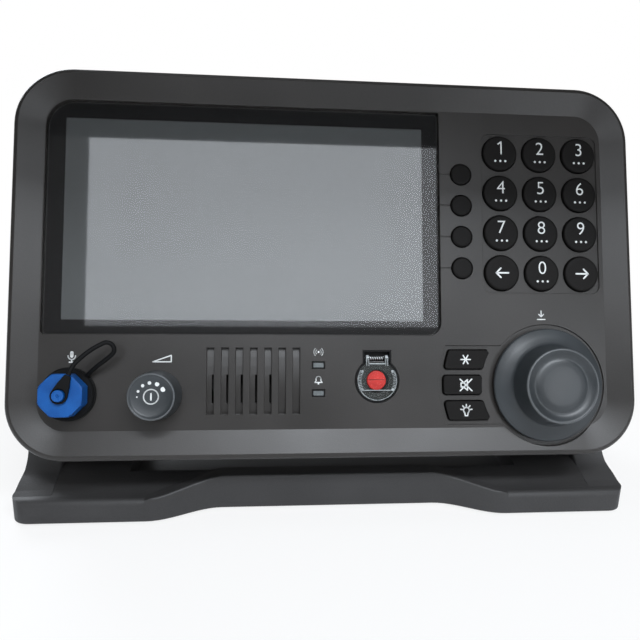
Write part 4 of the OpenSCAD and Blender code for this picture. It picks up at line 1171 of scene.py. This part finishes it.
@dataclass
class DistressUnit:
    """Well, red button, sprung cover and indicator lenses."""

    centre: Flat = (18.8, -49.6)
    lamps: tuple[Flat, ...] = ((-6.5, -43.0), (-6.5, -54.9))
    # Frame, then lens: width, height and front. The black frame stands in for the shaded gap round each lens:
    # painted shade.
    lens_steps: tuple[Point, ...] = ((5.3, 2.9, 0.04), (4.3, 1.9, 0.1))
    lens_back: float = -8.8
    line_half: float = 3.8
    line_rise: float = 0.3
    line_n: Flat = (-1.62, -1.56)
    hinge: Flat = (9.6, -1.0)
    coil: float = 0.5
    cover_n: float = 0.5
    ear_n: float = 0.48
    skin_r: float = 4.75
    skin_fade: float = 0.2
    skin_levels: tuple[tuple[str, float], ...] = (("Alpha", 0.01), ("Specular IOR Level", 0.05))
    chord: float = -4.1
    chord_fade: float = 0.1
    chord_half: float = 6.1
    hinge_edge: Flat = (3.4, 7.2)
    hinge_from: float = 8.0
    bottom: Point = (8.4, 212, 328)
    ears: Flat = (3.68, 4.57)
    ear_span: Flat = (6.4, 9.4)
    grip_r: float = 8.35
    grip_half: float = 31.0
    ribs: int = 5
    rib_step: float = 5.2
    rib_span: Flat = (7.0, 8.1)
    glint_at: float = 7.6
    glint_r: float = 0.55

    def build(self) -> None:
        """Softens the solids, then adds the cover's painted highlights and the lamps."""
        softened("distress_well", "head", BLACK_NYLON, Shape.CRISP)
        softened("distress_button", "distress_press", RED_ACETAL, Shape.CRISP)
        dress("cover_pin", PAINTED_STEEL)
        self.spring()
        self.button_line()
        self.cover()
        self.indicators()

    def spring(self) -> None:
        """Draws the spring's coils in, closer to their pin."""
        wire = Builder()
        wire.carry("cover_spring")
        v, n = self.centre[1] + self.hinge[0], self.hinge[1]
        for vert in wire.bm.verts:
            vert.co.y = v + (vert.co.y - v) * self.coil
            vert.co.z = n + (vert.co.z - n) * self.coil
        wire.finish("cover_spring_coils", "head", [NICKEL_WIRE], "steel", ["cover_spring"])

    def button_line(self) -> None:
        """Lays the dark parting line across the button."""
        u, v = self.centre
        line = Builder()
        ends = [(u + side * self.line_half, v + self.line_rise) for side in (-1, 1)]
        line.part(stroke, ends, 0.28, self.line_n)
        line.finish("distress_button_line", "distress_press", [DARK_ACETAL], "red_plastic")

    def clear_middle(self, material: bpy.types.Material) -> None:
        """Lets the skin over the button stay clear, as it is polished on both sides.

        Args:
            material: The cover's material, whose opacity and gloss fade out towards its middle.
        """
        tree = material.node_tree
        shader = next(node for node in tree.nodes if node.type == "BSDF_PRINCIPLED")
        where = add_node(tree, "TexCoord")

        def vector(operation: str, socket: bpy.types.NodeSocket, other: Vector) -> bpy.types.Node:
            """Adds a step that works on a vector with a fixed one."""
            return add_node(tree, "VectorMath", {1: other}, {0: socket}, operation=operation)

        offset = vector("SUBTRACT", where.outputs["Object"], PANEL.place((*self.centre, 0.0)))
        across = vector("CROSS_PRODUCT", offset.outputs[0], PANEL.turn((0, 0, 1)))
        radius = add_node(tree, "VectorMath", links={0: across.outputs[0]}, operation="LENGTH")
        height = vector("DOT_PRODUCT", offset.outputs[0], PANEL.turn((0, 1, 0)))
        masks = {}
        for i, (place, first, width) in enumerate(
            ((radius, self.skin_r, self.skin_fade), (height, self.chord, -self.chord_fade))
        ):
            span = {"From Min": first * MM, "From Max": (first + width) * MM}
            masks[i] = add_node(tree, "MapRange", span, {"Value": place.outputs["Value"]}).outputs[0]
        thick = add_node(tree, "Math", links=masks, operation="MAXIMUM")
        for socket, inside in self.skin_levels:
            span = {"To Min": inside, "To Max": shader.inputs[socket].default_value}
            fade = add_node(tree, "MapRange", span, {"Value": thick.outputs[0]})
            tree.links.new(fade.outputs[0], shader.inputs[socket])

    def cover(self) -> None:
        """Clears the skin over the button and paints highlights on the cover: its hinge ears, edges and ribs
        in light grey, and glints at the grips' ends.
        """
        u, v = self.centre
        piece = softened("distress_cover", "distress_flap", CLEAR_POLYCARBONATE, Shape.CRISP)
        self.clear_middle(CLEAR_POLYCARBONATE.material())
        piece.data.materials.append(COVER_HIGHLIGHT_POLYCARBONATE.material())
        # The hinge ears turn light grey: a painted highlight.
        back = PANEL.matrix().inverted()
        for face in piece.data.polygons:
            if (back @ face.center).y > v + self.hinge_from:
                face.material_index = 1
        # Real edges and ribs of the cover, drawn as light grey strokes: painted highlights on them.
        edges = Builder()
        for half, rise, width, top in (
            (self.chord_half, self.chord, 0.3, 1.3),
            (*self.hinge_edge, 0.45, 1.34),
        ):
            edges.part(stroke, [(u - half, v + rise), (u + half, v + rise)], width, (self.cover_n, top))
        edges.part(stroke, ring_points((u, v), *self.bottom, 40), 0.35, (self.cover_n, 0.58))
        for side in (-1, 1):
            for across in self.ears:
                ends = [(u + side * across, v + rise) for rise in self.ear_span]
                edges.part(stroke, ends, 0.28, (self.ear_n, 0.56))
        for side in (0, 180):
            tips = (side - self.grip_half, side + self.grip_half)
            edges.part(stroke, ring_points((u, v), self.grip_r, *tips), 0.4, (self.cover_n, 0.6))
            for k in range(-self.ribs, self.ribs + 1):
                ends = [polar((u, v), r, side + self.rib_step * k) for r in self.rib_span]
                edges.part(stroke, ends, 0.26, (self.cover_n, 0.58))
            # Painted glints at the ends of each grip.
            for angle in tips:
                edges.part(disc, polar((u, v), self.glint_at, angle), self.glint_r, (self.cover_n, 0.9), 16)
        edges.finish("distress_cover_highlights", "distress_flap", [COVER_HIGHLIGHT_POLYCARBONATE], "clear_plastic")

    def indicators(self) -> None:
        """Makes each lamp as a grey lens in a black frame; the black frame is painted shade for the gap round
        the lens.
        """
        unit = Builder()
        for u, v in self.lamps:
            for index, (w, h, top) in enumerate(self.lens_steps):
                shape = [(u + a, v + b) for a, b in rounded_outline(w, h, [0.3] * 4, 4)]
                unit.part(plate, shape, (self.lens_back, top), 0.03, 1, index=index)
        unit.finish("indicator_lamps", "head", [BLACK_NYLON, LENS_RESIN], "lens", ["indicator_lenses"])


@dataclass
class FacePrint:
    """White print on the flat face."""

    ink: Flat = (0.0, 0.03)
    places: tuple[tuple[Mark, float, float, float], ...] = (
        (Mark.MICROPHONE, -108.5, -39.6, 4.6),
        (Mark.VOLUME, -72.0, -40.3, 4.2),
        (Mark.WAVES, -6.5, -37.4, 3.6),
        (Mark.BELL, -6.5, -49.3, 4.0),
        (Mark.PUSH, 92.6, -21.2, 4.2),
    )

    def build(self) -> None:
        """Prints the generic signs beside the controls."""
        face = Builder()
        for mark, u, v, size in self.places:
            for stroke_values in signs(mark, (u, v), self.ink, size):
                face.part(*stroke_values)
        face.finish("face_print", "head", [WHITE_INK], "shell_plastic")


@dataclass
class DeskBase:
    """Base, arms, clamp knobs and feet."""

    lip_z: float = 10.5
    lip_y: float = -42.0
    lip_half: float = 79.0
    upright_z: float = 14.0
    eye_r: float = 12.0
    rim: float = 5.0
    rim_steps: int = 6

    def on_lip(self, middle: Vector) -> bool:
        """Says whether an edge of the base is on the front of its raised lip."""
        return middle.z > self.lip_z and middle.y < self.lip_y and abs(middle.x) < self.lip_half

    def on_upright(self, middle: Vector) -> bool:
        """Says whether an edge of an arm is on the rim of its upright."""
        return middle.z > self.upright_z and math.hypot(middle.y, middle.z - PANEL.pivot_height) > self.eye_r

    def round_rim(self, bm: Bmesh) -> None:
        """Rounds the outer rim of a clamp knob, as moulded grips have it.

        Args:
            bm: The knob's mesh, in world metres.
        """
        rim = self.rim * MM
        outer = max((vert.co.x for vert in bm.verts), key=abs)
        for step in range(1, self.rim_steps + 1):
            depth = rim * (1 - math.cos(math.pi / 2 * step / self.rim_steps))
            cut = {"plane_co": (outer - math.copysign(depth, outer), 0, 0), "plane_no": (1, 0, 0)}
            bmesh.ops.bisect_plane(bm, geom=[*bm.verts, *bm.edges, *bm.faces], **cut)
        for vert in bm.verts:
            reach = min(1 - abs(outer - vert.co.x) / rim, 1.0)
            if reach > 0:
                spoke = Vector((0, vert.co.y, vert.co.z - PANEL.pivot_height * MM))
                vert.co -= spoke.normalized() * rim * (1 - math.sqrt(1 - reach**2))

    def build(self) -> None:
        """Softens the castings and dresses the small pieces."""
        softened("base", "bracket", COATED_ALUMINIUM, Shape.CAST, pick=self.on_lip)
        for node in ("left_arm", "right_arm"):
            softened(node, "bracket", COATED_ALUMINIUM, Shape.CAST, pick=self.on_upright)
        for side in ("left", "right"):
            knob, body = f"{side}_clamp_knob", f"{side}_clamp"
            softened(knob, body, KNOB_ABS, Shape.CAST, form=self.round_rim)
        dress("arm_screws", ZINC_STEEL)
        dress("rubber_pads", BLACK_RUBBER)
        dress("friction_washers", BLACK_RUBBER)


def main() -> None:
    """Builds the studio and every piece."""
    logging.basicConfig(level=logging.INFO, format="%(message)s")
    Studio().build()
    CapStrap().build()
    for assembly in (Housing, Display, Keys, Knobs, MicrophoneSocket, DistressUnit, FacePrint, DeskBase):
        assembly().build()


if __name__ == "__main__":
    main()
